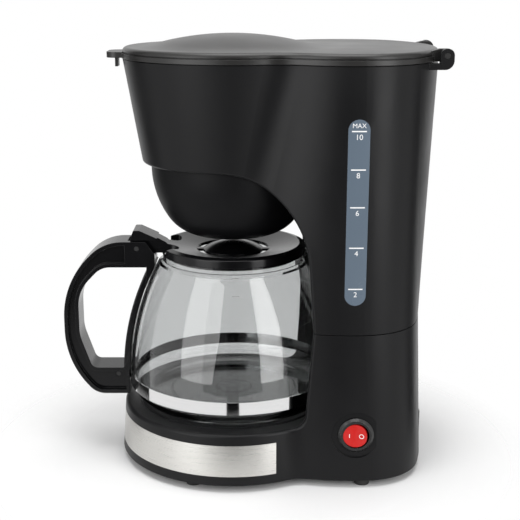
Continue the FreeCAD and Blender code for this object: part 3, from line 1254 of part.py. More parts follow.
def cord_inlet():
    """Square bush in the rear wall that the mains lead passes through, drawn with its mouth up."""
    bush = new_body("cord_inlet")
    for half, depth in (("inlet_half", "inlet_length"), ("inlet_flange", "inlet_sheet")):
        corners = [("-" + half, "-" + half), (half, "-" + half), (half, half), ("-" + half, half)]
        pad(bush, draw(new_sketch(bush, "XY", "-" + depth), *corners), depth)
    pocket(bush, draw_circles(new_sketch(bush, "XY", "-inlet_length"), ("0", "0", "inlet_bore")),
           "inlet_length", up=True)
    return bush


# Top lid

LID_LOW = "rim_z + lid_gap"
LID_TOP = LID_LOW + " + lid_edge"
KNUCKLE_X = "ear_x - slip - knuckle_width"


def dome_outline(sketch, radius, low, top):
    """Half section of the lid's dome, which leaves the flat in a hollow, down to a height."""
    sweep = f"(({radius}) ^ 2 + dome_rise ^ 2) / (2 * dome_rise)"
    return draw(sketch, ("0", low), (radius, low), (radius, top), Bend(f"{sweep} * dome_hollow", -1),
                (f"({radius}) * (1 - dome_hollow)", f"{top} + dome_rise * dome_hollow"),
                Bend(f"{sweep} * (1 - dome_hollow)", 1), ("0", f"{top} + dome_rise"))


def top_lid():
    """Lid over tank and brew head: stepped edge, dome over the basket, finger tab, skirt and knuckles."""
    lid = new_body("top_lid")
    step = f"{LID_LOW} + lid_band + lid_groove"
    top = pad(lid, draw_plan(new_sketch(lid, "XY", step), RIM), "lid_edge - lid_band - lid_groove")
    doc.recompute()
    height = value(LID_TOP)
    edges = [f"Edge{number}" for number, edge in enumerate(top.Shape.Edges, start=1)
             if all(abs(vertex.Z - height) < 1e-6 for vertex in edge.Vertexes)]
    shoulder = lid.newObject("PartDesign::Fillet", "shoulder")
    shoulder.Base = (top, edges)
    bind(shoulder, "Radius", "lid_round")
    pad(lid, draw_plan(new_sketch(lid, "XY", LID_LOW), RIM, "lid_proud"), "lid_band + lid_groove")
    pad(lid, draw_plan(new_sketch(lid, "XY", LID_LOW), RIM, "-lid_proud"), "lid_band")
    revolve(lid, dome_outline(new_sketch(lid, "XZ"), "dome_radius", f"{LID_TOP} - lid_sheet / 2", LID_TOP))
    pocket(lid, draw_plan(new_sketch(lid, "XY", LID_LOW), RIM, "lid_sheet"), "lid_edge - lid_sheet", up=True)
    revolve(lid, dome_outline(new_sketch(lid, "XZ"), "dome_radius - lid_sheet", LID_LOW,
                              f"{LID_TOP} - lid_sheet"), "Groove")
    skirt = draw_plan(new_sketch(lid, "XY", f"{LID_LOW} - lid_skirt"), RIM, "skirt_inset")
    draw_plan(skirt, RIM, "skirt_inset + skirt_sheet")
    pad(lid, skirt, "lid_skirt + lid_edge - lid_sheet / 2")
    half, root = "tab_width / 2", "-(rim_front - lid_sheet / 2)"
    pad(lid, draw(new_sketch(lid, "XY", LID_LOW),
                  ("-" + half, root), ("-" + half, "-tab_reach", "tab_width / 4"),
                  (half, "-tab_reach", "tab_width / 4"), (half, root)), "tab_height")
    pad(lid, draw(new_sketch(lid, "XY", LID_LOW), ("-tab_width / 6", "-prong_y - prong_sheet"),
                  ("tab_width / 6", "-prong_y - prong_sheet"), ("tab_width / 6", "-prong_y"),
                  ("-tab_width / 6", "-prong_y")), "prong_length", down=True)
    wall_y = f"rim_rear - rim_back + sqrt(rim_back ^ 2 - ({KNUCKLE_X}) ^ 2) - lid_round * 1.5"
    for side in SIDES:
        low = f"-({KNUCKLE_X}) - knuckle_width" if side else KNUCKLE_X
        pad(lid, draw(new_sketch(lid, "YZ", low), (wall_y, LID_LOW),
                      ("hinge_y + knuckle_round", "hinge_z - knuckle_round", "knuckle_round - slip"),
                      ("hinge_y + knuckle_round", "hinge_z + knuckle_round", "knuckle_round - slip"),
                      ("hinge_y - knuckle_round", "hinge_z + knuckle_round", "knuckle_round / 2"),
                      (wall_y, f"{LID_TOP} - lid_sheet / 2")), "knuckle_width")
    pocket(lid, draw_circles(new_sketch(lid, "YZ"), ("hinge_y", "hinge_z", "hinge_pin")), "bay_reach * 2",
           both_ways=True)
    return lid


def hinge_pins():
    """Pins pressed into the lid's knuckles that turn in the ears."""
    pins = new_body("lid_hinge_pins")
    for side in SIDES:
        low = "-(ear_x + ear_width - seat_gap)" if side else f"{KNUCKLE_X} + knuckle_width / 2"
        pad(pins, draw_circles(new_sketch(pins, "YZ", low), ("hinge_y", "hinge_z", "hinge_pin")),
            "knuckle_width / 2 + slip + ear_width - seat_gap")
    return pins


# Jug

def jug_side(height, offset):
    """Radius of the jug's swept side at a height, moved outwards by an offset."""
    return f"jug_radius - jug_bulge + sqrt((jug_bulge + {offset}) ^ 2 - ({height} - jug_wide_z) ^ 2)"


def jug_form(name, offset, low, top):
    """Solid of the jug's outer form, or of its inside with a negative offset."""
    return turned(name,
                  ("0", low), (f"jug_radius + {offset}", low, f"jug_heel + {offset}"),
                  (f"jug_radius + {offset}", "jug_wide_z"), Bend(f"jug_bulge + {offset}", 1),
                  (jug_side("jug_neck_z", offset), "jug_neck_z"),
                  (f"jug_mouth + {offset}", "jug_neck_z + margin / 2"), (f"jug_mouth + {offset}", top),
                  ("0", top))


def spout_cone(name, offset, top):
    """Cone that leans out through the mouth for the pouring lip."""
    foot = Vector(0, value("jug_mouth - spout_radius / 2"), value("jug_rim_z - spout_drop"))
    head = Vector(0, value("spout_reach - spout_radius"), value(top))
    cone = doc.addObject("Part::Feature", name)
    cone.Shape = Part.makeCone(value(f"jug_glass * 2 + {offset}"), value(f"spout_radius + {offset}"),
                               (head - foot).Length, foot, head - foot)
    return cone


def jug_glass():
    """Blown glass jug with a hollow under it and a pouring lip at the rear."""
    body = jug_form("jug_outside", "0", "jug_z", "jug_rim_z")
    lip = boolean("Cut", "jug_lip", spout_cone("lip_outside", "0", "jug_rim_z + margin"),
                  slab("above_mouth", "jug_rim_z", "jug_rim_z + margin * 4", "bay_reach"))
    punt = turned("jug_punt", ("0", "jug_z - margin"), ("punt_radius", "jug_z - margin"),
                  ("punt_radius", "jug_z"), ("punt_radius - punt_rise", "jug_z + punt_rise"),
                  ("dimple_radius", "jug_z + punt_rise"),
                  ("dimple_radius - dimple_rise", "jug_z + punt_rise + dimple_rise"),
                  ("0", "jug_z + punt_rise + dimple_rise"))
    space = jug_form("jug_inside", "-jug_glass", "jug_z + punt_rise + jug_glass", "jug_rim_z + margin")
    return boolean("Cut", "jug_glass", boolean("MultiFuse", "jug_blank", body, lip), space, punt,
                   spout_cone("lip_inside", "-jug_glass", "jug_rim_z + margin"))


BAND_IN = "jug_radius + seat_gap"
SCREW_Y = "-(band_tail - handle_rim * 2)"
SCREW_Z = "(band_low + band_high) / 2"


def jug_band():
    """Steel band round the jug whose two ends are drawn together inside the handle, and their screw."""
    ring = turned("band_ring", (BAND_IN, "band_low"), (f"{BAND_IN} + band_sheet", "band_low"),
                  (f"{BAND_IN} + band_sheet", "band_high"), (BAND_IN, "band_high"))
    near, far = "band_split / 2", "band_split / 2 + band_sheet"
    tails = [prism("band_tail", "XY", "band_high - band_low",
                   (near if side else f"-({far})", "-band_tail"),
                   (far if side else f"-({near})", "-band_tail"),
                   (far if side else f"-({near})", f"-({BAND_IN} + band_sheet / 4)"),
                   (near if side else f"-({far})", f"-({BAND_IN} + band_sheet / 4)"), offset="band_low")
             for side in SIDES]
    gap = prism("band_gap", "XY", "band_high - band_low + margin",
                (f"-({near})", "-bay_reach"), (near, "-bay_reach"), (near, "-jug_radius / 2"),
                (f"-({near})", "-jug_radius / 2"), offset="band_low - margin / 2")
    hole = round_bar("tail_hole", X, ("-handle_width", SCREW_Y, SCREW_Z), "screw_radius + seat_gap",
                     "handle_width * 2")
    band = boolean("Cut", "jug_band", boolean("MultiFuse", "band_blank", ring, *tails), gap, hole)
    screw = new_body("band_screw")
    floor = "handle_width / 2 - handle_hollow"
    pad(screw, draw_circles(new_sketch(screw, "YZ", f"-({floor})"), (SCREW_Y, SCREW_Z, "screw_radius")),
        f"({floor}) * 2 - seat_gap")
    pad(screw, draw_circles(new_sketch(screw, "YZ", f"-({floor})"), (SCREW_Y, SCREW_Z, "screw_head")),
        "screw_rise", down=True)
    return band, screw


def grip_outline(inset):
    """Outer edge of the handle from the pivot block round the grip to the band, moved in by an inset."""
    front, low, top = f"-handle_reach + {inset}", f"handle_low + {inset}", f"handle_top - {inset}"
    return [(f"-(handle_reach - brow_slope) + {inset} / 2", top, f"brow_round - {inset}"),
            (front, f"handle_top - brow_slope - {inset} / 2", f"grip_round - {inset}"),
            (front, f"handle_low + chin_rise + {inset} / 2", f"grip_round - {inset}"),
            (f"-(handle_reach - chin_run) + {inset} / 2", low, f"chin_round - {inset}")]


def loop_outline(inset):
    """Finger gap's front edge, top to bottom, moved out by an inset."""
    front = f"-handle_reach + grip_sheet - {inset}"
    return [(f"-(handle_reach - loop_top_run) - {inset} / 2", f"loop_high + {inset}",
             f"loop_top_round + {inset}"),
            (front, f"loop_high - loop_top_drop + {inset} / 2", f"loop_round + {inset}"),
            (front, f"loop_low + loop_foot_rise - {inset} / 4", f"loop_round + {inset}"),
            (f"-(handle_reach - loop_foot_run) - {inset} / 2", f"loop_low - {inset}",
             f"loop_foot_round + {inset}")]


def jug_handle():
    """D-shaped handle with hollow sides, a strap along the glass and two cheeks for the lid's pin."""
    handle = new_body("jug_handle")
    glass_low, glass_top = "band_high + slip", "loop_high"
    face = f"-({BAND_IN} + band_sheet + seat_gap)"
    strap_in, strap_out = "seat_gap * 2", "seat_gap * 2 + strap_sheet"
    outer = draw(new_sketch(handle, "YZ"),
                 (f"-({jug_side(glass_top, strap_in)})", glass_top),
                 (f"-({jug_side(glass_top, strap_in)})", "jug_rim_z"),
                 ("-(pivot_y - margin * 1.5)", "handle_top"),
                 *grip_outline("0"),
                 (face, "handle_low"), (face, glass_low), (f"-({jug_side(glass_low, strap_in)})", glass_low),
                 Bend(f"jug_bulge + {strap_in}", -1))
    pad(handle, outer, "handle_width", both_ways=True)
    top_corner = f"-({jug_side('loop_high', strap_out)})"
    loop = draw(new_sketch(handle, "YZ"), (top_corner, "loop_high"), *loop_outline("0"),
                (f"-({jug_side('loop_low', strap_out)})", "loop_low"), Bend(f"jug_bulge + {strap_out}", 1))
    pocket(handle, loop, "handle_width * 2", both_ways=True)
    for low in ("handle_width / 2 - handle_hollow", "-handle_width / 2"):
        hollow = draw(new_sketch(handle, "YZ", low),
                      ("-(pivot_y + margin * 2)", "handle_top - handle_rim"), *grip_outline("handle_rim"),
                      (f"{face} - handle_rim", "handle_low + handle_rim"),
                      (f"{face} - handle_rim", "loop_low - handle_rim"),
                      *reversed(loop_outline("handle_rim")),
                      ("-(pivot_y + margin * 2)", "loop_high + handle_rim"))
        pocket(handle, hollow, "handle_hollow", up=True)
    slot = draw(new_sketch(handle, "YZ"), ("-(pivot_y + margin * 1.5)", "pivot_z - margin * 1.5"),
                ("-jug_mouth", "pivot_z - margin * 1.5"), ("-jug_mouth", "handle_top + margin"),
                ("-(pivot_y + margin * 1.5)", "handle_top + margin"))
    pocket(handle, slot, "arm_width + slip * 2", both_ways=True)
    tails = draw(new_sketch(handle, "YZ"), ("-band_tail - slip", "band_low - slip"),
                 ("-jug_radius", "band_low - slip"), ("-jug_radius", "band_high + slip"),
                 ("-band_tail - slip", "band_high + slip"))
    pocket(handle, tails, "band_split + (band_sheet + slip) * 2", both_ways=True)
    holes = draw_circles(new_sketch(handle, "YZ"), ("-pivot_y", "pivot_z", "lid_pin + run_gap"),
                         (SCREW_Y, SCREW_Z, "screw_radius + seat_gap"))
    pocket(handle, holes, "handle_width * 2", both_ways=True)
    return handle


def jug_lid():
    """Lid with a dished top, brew-through slots round an island, an arm to the pin and a thumb lever."""
    low = "jug_rim_z + slip"
    top = f"{low} + collar_height"
    dish = turned("lid_dish",
                  ("brew_ring", f"{low} + slip"), ("plug_radius - plug_sheet", low),
                  ("plug_radius - plug_sheet", f"{low} - plug_depth"), ("plug_radius", f"{low} - plug_depth"),
                  ("plug_radius", low), ("collar_radius", low), ("collar_radius", top, "plug_sheet / 2"),
                  ("collar_radius - plug_sheet * 2", f"{top} + plug_sheet / 2", "plug_sheet / 2"),
                  ("brew_ring", f"{low} + plug_sheet + slip"))
    rise = f"island_top - ({low} + plug_sheet)"
    island = turned("lid_island",
                    ("0", f"{low} + slip"), ("island_radius", f"{low} + slip"),
                    ("island_radius", f"{low} + plug_sheet"),
                    Bend(f"(island_radius ^ 2 + ({rise}) ^ 2) / (2 * ({rise}))", 1), ("0", "island_top"))
    half = "brew_ring + plug_sheet / 2"
    bridges = [prism("lid_bridge", "XY", "plug_sheet - slip", (f"-({a})", f"-({b})"), (a, f"-({b})"), (a, b),
                     (f"-({a})", b), offset=f"{low} + slip")
               for a, b in ((half, "bridge_width / 2"), ("bridge_width / 2", half))]
    tip = "-(pivot_y + margin * 1.1)"
    lever = [("-(pivot_y + margin / 2)", "thumb_top", "plug_sheet / 2"),
             ("-(pivot_y - margin / 2)", "thumb_top", "plug_sheet / 2"),
             ("-(collar_radius + plug_sheet)", f"{top} + margin * 1.3")]
    arm = prism("lid_arm", "YZ", "arm_width",
                ("-(collar_radius - margin * 2)", f"{low} + slip"), ("-(pivot_y - margin)", f"{low} - slip"),
                (tip, f"{low} + slip", "margin / 2"), (tip, "handle_top + plug_sheet / 2"), *lever,
                ("-(collar_radius - margin)", f"{top} + plug_sheet"),
                ("-(collar_radius - margin * 2)", f"{low} + plug_sheet"), both_ways=True)
    thumb = prism("lid_thumb", "YZ", "thumb_width",
                  (tip, "handle_top + plug_sheet / 2"), *lever,
                  ("-(collar_radius + plug_sheet)", "handle_top + plug_sheet / 2"), both_ways=True)
    hole = round_bar("arm_hole", X, ("-handle_width", "-pivot_y", "pivot_z"), "lid_pin", "handle_width * 2")
    near, far, inner = "arm_width / 2", "arm_width / 2 + lid_notch", "-(collar_radius - notch_run)"
    notches = [prism("lid_notch", "XY", "collar_height + plug_depth + margin",
                     (side + f"({near})", "-(pivot_y)"), (side + f"({far})", "-(pivot_y)"),
                     (side + f"({far})", inner, "notch_round"), (side + f"({near})", inner, "notch_round"),
                     offset=f"{low} - plug_depth - margin / 4") for side in SIDES]
    dish = boolean("Cut", "lid_notched", dish, *notches)
    blank = boolean("MultiFuse", "lid_blank", dish, island, arm, thumb, *bridges)
    lid = boolean("Cut", "jug_lid", blank, hole)
    pin = new_body("jug_lid_pin")
    pad(pin, draw_circles(new_sketch(pin, "YZ"), ("-pivot_y", "pivot_z", "lid_pin")),
        "handle_width - seat_gap * 2", both_ways=True)
    return lid, pin


# The whole machine

def place(piece, x="0", y="0", z="0", turn=None):
    """Put a piece at a place from the brew axis, in the frame whose origin is under the machine's middle."""
    if turn is not None:
        piece.Placement.Rotation = turn
    middle = "(handle_reach - hinge_y - ear_round) / 2"
    for axis, text in zip("xyz", (x, f"{y} + {middle}", z)):
        bind(piece, "Placement.Base." + axis, text)
    return piece


def build():
    """Make every sub-part and put it in place."""
    outward, rearward = Rotation(Z, X), Rotation(Z, Y)
    switch, rocker, blades = power_switch()
    valve, ball = check_valve()
    tube, seal = riser()
    fixed = [*upper_housing(), *base_housing(), base_cover(), feet(), cover_screws(), brew_bowl(),
             filter_basket(), *drip_stop(), *hoses(), tube, spout_arm(), *warming_plate(), *heater(),
             *heat_guards(), top_lid(), hinge_pins(), jug_glass(), *jug_band(), jug_handle(), *jug_lid()]
    for piece in fixed:
        place(piece)
    place(valve, "pipe_x", "pipe_y")
    place(ball, "pipe_x", "pipe_y", f"{VALVE_LOW} + wall + {BALL_SEAT}")
    place(seal, "-pipe_x", "pipe_y")
    for piece in (switch, blades):
        place(piece, "switch_face", "switch_y", "switch_z", outward)
    tilt = Rotation(Z, -value("rocker_tilt"))
    place(rocker, "switch_face - rocker_pivot", "switch_y", "switch_z", tilt * outward)
    inlet = place(cord_inlet(), "0", "base_rear", "inlet_z", rearward)
    return [*fixed, valve, ball, seal, switch, blades, rocker, inlet]


def save(pieces):
    """Check every object and every sub-part, then write one file per sub-part."""
    broken = [thing.Name for thing in doc.Objects if {"Invalid", "Error"} & set(thing.State)]
    empty = [piece.Label for piece in pieces if piece.Shape.isNull() or not piece.Shape.isValid()]
    if broken or empty:
        raise RuntimeError(f"failed objects: {broken}, bad shapes: {empty}")
    os.makedirs("parts", exist_ok=True)
    for piece in pieces:
        piece.Shape.exportStep(f"parts/{piece.Label}.step")


if __name__ == "__main__":
    machine = build()
    doc.recompute()
    save(machine)
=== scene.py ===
import math

import bmesh
import bpy
from mathutils import Matrix, Vector
from mathutils.bvhtree import BVHTree


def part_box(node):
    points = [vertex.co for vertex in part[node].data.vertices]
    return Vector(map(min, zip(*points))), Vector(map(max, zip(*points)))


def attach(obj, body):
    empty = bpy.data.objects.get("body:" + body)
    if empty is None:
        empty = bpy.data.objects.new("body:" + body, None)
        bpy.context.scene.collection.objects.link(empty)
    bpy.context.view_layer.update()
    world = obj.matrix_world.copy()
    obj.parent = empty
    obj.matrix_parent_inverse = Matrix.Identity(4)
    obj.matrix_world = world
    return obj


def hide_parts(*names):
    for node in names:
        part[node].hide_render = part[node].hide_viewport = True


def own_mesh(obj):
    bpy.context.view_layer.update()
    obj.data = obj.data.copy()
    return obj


# Drip coffee maker: the finishes of its parts, the printed marks, the strap of the jug handle,
# the spring of the drip stop, and the studio it stands in.
# Lengths are in metres, and the front of the machine looks along -Y.

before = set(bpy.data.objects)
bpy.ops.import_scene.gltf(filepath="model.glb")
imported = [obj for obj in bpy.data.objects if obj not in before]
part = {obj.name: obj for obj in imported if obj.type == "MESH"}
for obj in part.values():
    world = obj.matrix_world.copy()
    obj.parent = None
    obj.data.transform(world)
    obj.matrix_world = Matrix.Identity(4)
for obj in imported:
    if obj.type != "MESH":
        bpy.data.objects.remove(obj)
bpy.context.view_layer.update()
bowl_low, bowl_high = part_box("brew_bowl")
BREW_Y = (bowl_low.y + bowl_high.y) / 2  # axis of the brew head and the jug
MM = 0.001

# Turns a drawing in the XY plane upright, so that it faces +X.
FACING = Matrix(((0, 0, 1, 0), (1, 0, 0, 0), (0, 1, 0, 0), (0, 0, 0, 1)))
QUARTER_TURN = Matrix.Rotation(math.radians(90), 4, "X")


def made_of(name, shape, material):
    """Object with the given shape and finish."""
    mesh = bpy.data.meshes.new(name)
    shape.to_mesh(mesh)
    shape.free()
    mesh.materials.append(material)
    piece = bpy.data.objects.new(name, mesh)
    bpy.context.scene.collection.objects.link(piece)
    return piece


def corners_of(result):
    """The vertices among what an operator made."""
    return [item for item in result["geom"] if isinstance(item, bmesh.types.BMVert)]


# Finishes

CLOUD_SCALE, CLOUD_DETAIL = 22, 5  # broad unevenness of a moulded sheen
PIT_DETAIL, PIT_STRENGTH = 2, 0.5  # fine grain of a moulded skin
LINE_DETAIL, LINE_ROUGHNESS, LINE_STRENGTH = 6, 0.65, 0.4  # lines in metal
WAVE_SCALE, WAVE_DETAIL, WAVE_STRENGTH = 30, 1, 0.1  # waves in blown glass
WAVE_DEPTH = 0.1 * MM
GLASS_COLOUR, GLASS_IOR = (0.72, 0.73, 0.73), 1.47
EDGE_SAMPLES = 6
MIX_DARK, MIX_LIGHT, MIX_RESULT = 6, 7, 2  # colour sockets of a Mix node


def wire(material, kind, inputs=None, **settings):
    """Add a shader node; an input is a plain value or the output of another node."""
    made = material.node_tree.nodes.new("ShaderNode" + kind)
    for name, setting in settings.items():
        setattr(made, name, setting)
    for socket, given in (inputs or {}).items():
        join(material, given, made.inputs[socket])
    return made


def join(material, given, socket):
    """Set a socket to a plain value, or link it to an output."""
    if isinstance(given, bpy.types.NodeSocket):
        material.node_tree.links.new(given, socket)
    else:
        socket.default_value = given


def finish(name, colour, roughness, **sockets):
    """Material with its constant values set on the shader itself."""
    material = bpy.data.materials.new(name)
    material.use_nodes = True
    shader = material.node_tree.nodes["Principled BSDF"]
    shader.inputs["Base Color"].default_value = (*colour, 1)
    shader.inputs["Roughness"].default_value = roughness
    for socket, number in sockets.items():
        shader.inputs[socket.replace("_", " ")].default_value = number
    return material


def feed(material, **given):
    """Join node outputs to the shader's sockets."""
    shader = material.node_tree.nodes["Principled BSDF"]
    for socket, output in given.items():
        join(material, output, shader.inputs[socket.replace("_", " ")])


def spread(material, value, low, high, start=0.3, end=0.7):
    """Stretch a value between start and end over the range from low to high."""
    return wire(material, "MapRange", {"Value": value, "From Min": start, "From Max": end,
                                       "To Min": low, "To Max": high}).outputs["Result"]


def tint(material, value, dark, light):
    """Blend two colours by a noise value."""
    blend = wire(material, "Mix", {"Factor": value}, data_type="RGBA")
    blend.inputs[MIX_DARK].default_value = (*dark, 1)
    blend.inputs[MIX_LIGHT].default_value = (*light, 1)
    return blend.outputs[MIX_RESULT]


def place(material, stretch=(1, 1, 1)):
    """Object coordinates about the brew axis."""
    spot = wire(material, "TexCoord").outputs["Object"]
    return wire(material, "Mapping", {"Vector": spot, "Location": (0, -BREW_Y * stretch[1], 0),
                                      "Scale": stretch}).outputs["Vector"]


def noise(material, spot, scale, detail, **inputs):
    """Noise value at a place."""
    return wire(material, "TexNoise", {"Vector": spot, "Scale": scale, "Detail": detail,
                                       **inputs}).outputs["Fac"]


def bump(material, height, strength, depth, **inputs):
    """Normal of a skin that rises and falls with a noise value."""
    return wire(material, "Bump", {"Height": height, "Strength": strength, "Distance": depth,
                                   **inputs}).outputs["Normal"]


def moulded(name, dark, light, sheen, grain=900, depth=0.02 * MM, edge=0.5 * MM, **sockets):
    """Moulded plastic: fine spark grain, a slightly uneven sheen and softened edges."""
    material = finish(name, light, sheen[0], **sockets)
    spot = place(material)
    cloud = noise(material, spot, CLOUD_SCALE, CLOUD_DETAIL)
    pits = noise(material, spot, grain, PIT_DETAIL)
    soft = wire(material, "Bevel", {"Radius": edge}, samples=EDGE_SAMPLES).outputs["Normal"]
    feed(material,
         Base_Color=tint(material, cloud, dark, light),
         Roughness=spread(material, cloud, *sheen),
         Normal=bump(material, pits, PIT_STRENGTH, depth, Normal=soft))
    return material


def brushed(name, dark, light, sheen, stretch, grain, depth):
    """Metal with fine lines along one direction, or with an even grain."""
    material = finish(name, light, sheen[0], Metallic=1)
    lines = noise(material, place(material, stretch), grain, LINE_DETAIL, Roughness=LINE_ROUGHNESS)
    feed(material,
         Base_Color=tint(material, lines, dark, light),
         Roughness=spread(material, lines, *sheen),
         Normal=bump(material, lines, LINE_STRENGTH, depth))
    return material


def blown_glass(name):
    """Clear glass with the faint waves of a blown wall."""
    material = finish(name, GLASS_COLOUR, 0.0, Transmission_Weight=1, IOR=GLASS_IOR)
    waves = noise(material, place(material, (1, 1, 0.4)), WAVE_SCALE, WAVE_DETAIL)
    feed(material, Normal=bump(material, waves, WAVE_STRENGTH, WAVE_DEPTH))
    return material


def grey(level):
    """Colour without a tint."""
    return (level, level, level)


EVEN = (1, 1, 1)

body_black = moulded("body_black", (0.0050, 0.0050, 0.0055), (0.007, 0.007, 0.0075),
                     (0.34, 0.42), Specular_IOR_Level=0.18)
# The body's plastic with a lighter colour: painted light for the top light falling on the lid.
lid_painted_top_light = moulded("lid_painted_top_light", (0.010, 0.0095, 0.009), (0.014, 0.0135, 0.013),
                    (0.32, 0.40), Specular_IOR_Level=0.4)
# The body's plastic with a darker colour: painted shade on the downward-facing bowl under the brew
# head.
bowl_painted_shade = moulded("bowl_painted_shade", (0.0025, 0.0025, 0.003), (0.004, 0.004, 0.0045),
                     (0.42, 0.50), Specular_IOR_Level=0.12)
handle_black = moulded("handle_black", (0.003, 0.003, 0.0035), (0.004, 0.004, 0.0045),
                       (0.16, 0.24), Specular_IOR_Level=0.25)
switch_black = moulded("switch_black", grey(0.006), grey(0.009), (0.24, 0.32))
rocker_red = moulded("rocker_red", (0.46, 0.008, 0.006), (0.56, 0.013, 0.010),
                     (0.22, 0.30), grain=400, edge=0.3 * MM, Specular_IOR_Level=0.35)
gauge_blue = moulded("gauge_blue", (0.105, 0.137, 0.174), (0.119, 0.154, 0.197),
                     (0.22, 0.32), edge=0.3 * MM, Specular_IOR_Level=0.3)
print_white = moulded("print_white", grey(0.80), grey(0.88), (0.45, 0.55), edge=0.05 * MM)
print_grey = moulded("print_grey", grey(0.22), grey(0.28), (0.45, 0.55), edge=0.05 * MM)
pin_black = moulded("pin_black", grey(0.012), grey(0.020), (0.3, 0.4), edge=0.2 * MM)
foot_rubber = moulded("foot_rubber", grey(0.010), grey(0.016), (0.62, 0.75), grain=500)
silicone = moulded("silicone", (0.55, 0.54, 0.52), (0.66, 0.65, 0.63), (0.45, 0.6), grain=300)
plate_coating = moulded("plate_coating", (0.008, 0.008, 0.0085), (0.013, 0.013, 0.0135),
                        (0.3, 0.42), grain=1400, Specular_IOR_Level=0.2)
trim_steel = brushed("trim_steel", (0.52, 0.51, 0.49), (0.66, 0.65, 0.62),
                     (0.24, 0.36), (1, 1, 45), 60, 0.01 * MM)
band_steel = brushed("band_steel", grey(0.70), grey(0.78),
                     (0.04, 0.09), (1, 1, 30), 40, 0.002 * MM)
small_steel = brushed("small_steel", grey(0.42), grey(0.56), (0.25, 0.4), EVEN, 700, 0.01 * MM)
heater_metal = brushed("heater_metal", (0.46, 0.47, 0.48), (0.60, 0.61, 0.62),
                       (0.4, 0.6), EVEN, 900, 0.05 * MM)
terminal_brass = brushed("terminal_brass", (0.60, 0.42, 0.16), (0.75, 0.57, 0.26),
                         (0.25, 0.4), EVEN, 600, 0.01 * MM)
jug_clear = blown_glass("jug_clear")

WORN_BY = {
    body_black: ["upper_housing", "base_housing", "base_cover", "filter_basket", "drip_valve",
                 "check_valve", "riser_tube", "spout_arm"],
    lid_painted_top_light: ["top_lid"],
    bowl_painted_shade: ["brew_bowl"],
    handle_black: ["jug_handle", "jug_lid"],
    switch_black: ["switch_body"],
    rocker_red: ["switch_rocker"],
    gauge_blue: ["level_window"],
    foot_rubber: ["feet", "cord_inlet"],
    silicone: ["valve_seal", "inlet_hose", "outlet_hose", "check_ball", "riser_seal", "plate_seal",
               "thermal_fuses"],
    plate_coating: ["warming_plate"],
    trim_steel: ["steel_trim"],
    band_steel: ["jug_band"],
    small_steel: ["cover_screws", "valve_spring", "heater_clamp", "clamp_nut", "thermostat_strap"],
    pin_black: ["lid_hinge_pins", "band_screw", "jug_lid_pin"],
    heater_metal: ["heater_casting", "water_tube", "heating_rod", "thermostat"],
    terminal_brass: ["switch_terminals"],
    jug_clear: ["jug_glass"],
}
for material, names in WORN_BY.items():
    for name in names:
        part[name].data.materials.clear()
        part[name].data.materials.append(material)


# Printed marks

INK_HEIGHT = 0.04 * MM  # above the skin
INK_DEPTH = 0.02 * MM  # into the skin, so that no gap shows
OUTSIDE = 0.2  # well past the machine, where rays towards a skin start
CAPITAL = 0.7  # height of a capital letter as a share of the font's size
BAR_CUTS = 10

LINE_WIDTH, LINE_HEIGHT = 8.8 * MM, 0.75 * MM
DIGIT_HEIGHT, DIGIT_DROP = 3.2 * MM, 3.6
WORD_HEIGHT, WORD_Z = 2.7 * MM, 234.2
CUP_LINES = ((10, 231), (8, 208), (6, 185), (4, 159.8), (2, 133.6))  # cups, height in mm

ON_WIDTH, ON_HEIGHT, ON_Y = 0.42 * MM, 2.6 * MM, -4.0 * MM
OFF_RADIUS, OFF_INNER, OFF_Y, OFF_SIDES = 1.55 * MM, 0.74, 3.6 * MM, 32

JUG_LINES = (134.4, 124.4)  # height in mm
JUG_LINE_WIDTH, JUG_LINE_HEIGHT, JUG_LINE_Y = 4.6 * MM, 0.5 * MM, 2.7 * MM


def skin_of(name):
    """The surface of a part, to lay other things on."""
    return BVHTree.FromPolygons([vert.co for vert in part[name].data.vertices],
                                [face.vertices for face in part[name].data.polygons])


def print_on(name, flat, skin, body, material):
    """Lay a flat drawing of the YZ plane on a skin that faces +X, with the thickness of ink."""
    for vert in flat.verts:
        hit = skin.ray_cast(Vector((OUTSIDE, vert.co.y, vert.co.z)), Vector((-1, 0, 0)))[0]
        vert.co.x = hit.x - INK_DEPTH
    shell = bmesh.ops.extrude_face_region(flat, geom=flat.faces[:])
    bmesh.ops.translate(flat, verts=corners_of(shell), vec=(INK_HEIGHT + INK_DEPTH, 0, 0))
    bmesh.ops.recalc_face_normals(flat, faces=flat.faces[:])
    piece = made_of(name, flat, material)
    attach(piece, body)


def write(flat, words, height, y, z):
    """Add words to a drawing, centred at a place."""
    curve = bpy.data.curves.new("words", "FONT")
    curve.body = words
    curve.size = height / CAPITAL
    curve.align_x = "CENTER"
    curve.align_y = "CENTER"
    text = bpy.data.objects.new("words", curve)
    mesh = bpy.data.meshes.new_from_object(text)
    mesh.transform(Matrix.Translation((0, y, z)) @ FACING)
    flat.from_mesh(mesh)
    bpy.data.objects.remove(text)
    bpy.data.curves.remove(curve)
    bpy.data.meshes.remove(mesh)


def stroke(flat, width, height, y, z):
    """Add a bar to a drawing, cut across so that it can follow a curve."""
    bar = bmesh.ops.create_grid(flat, x_segments=BAR_CUTS, y_segments=1, size=0.5)
    bmesh.ops.scale(flat, verts=bar["verts"], vec=(width, height, 1))
    bmesh.ops.transform(flat, verts=bar["verts"], matrix=Matrix.Translation((0, y, z)) @ FACING)


def gauge_marks():
    """Water levels in cups on the gauge strip."""
    low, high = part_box("level_window")
    y = (low.y + high.y) / 2
    flat = bmesh.new()
    for cups, z in CUP_LINES:
        stroke(flat, LINE_WIDTH, LINE_HEIGHT, y, z * MM)
        write(flat, str(cups), DIGIT_HEIGHT, y, (z - DIGIT_DROP) * MM)
    write(flat, "MAX", WORD_HEIGHT, y, WORD_Z * MM)
    print_on("gauge_marks", flat, skin_of("level_window"), "housing", print_white)


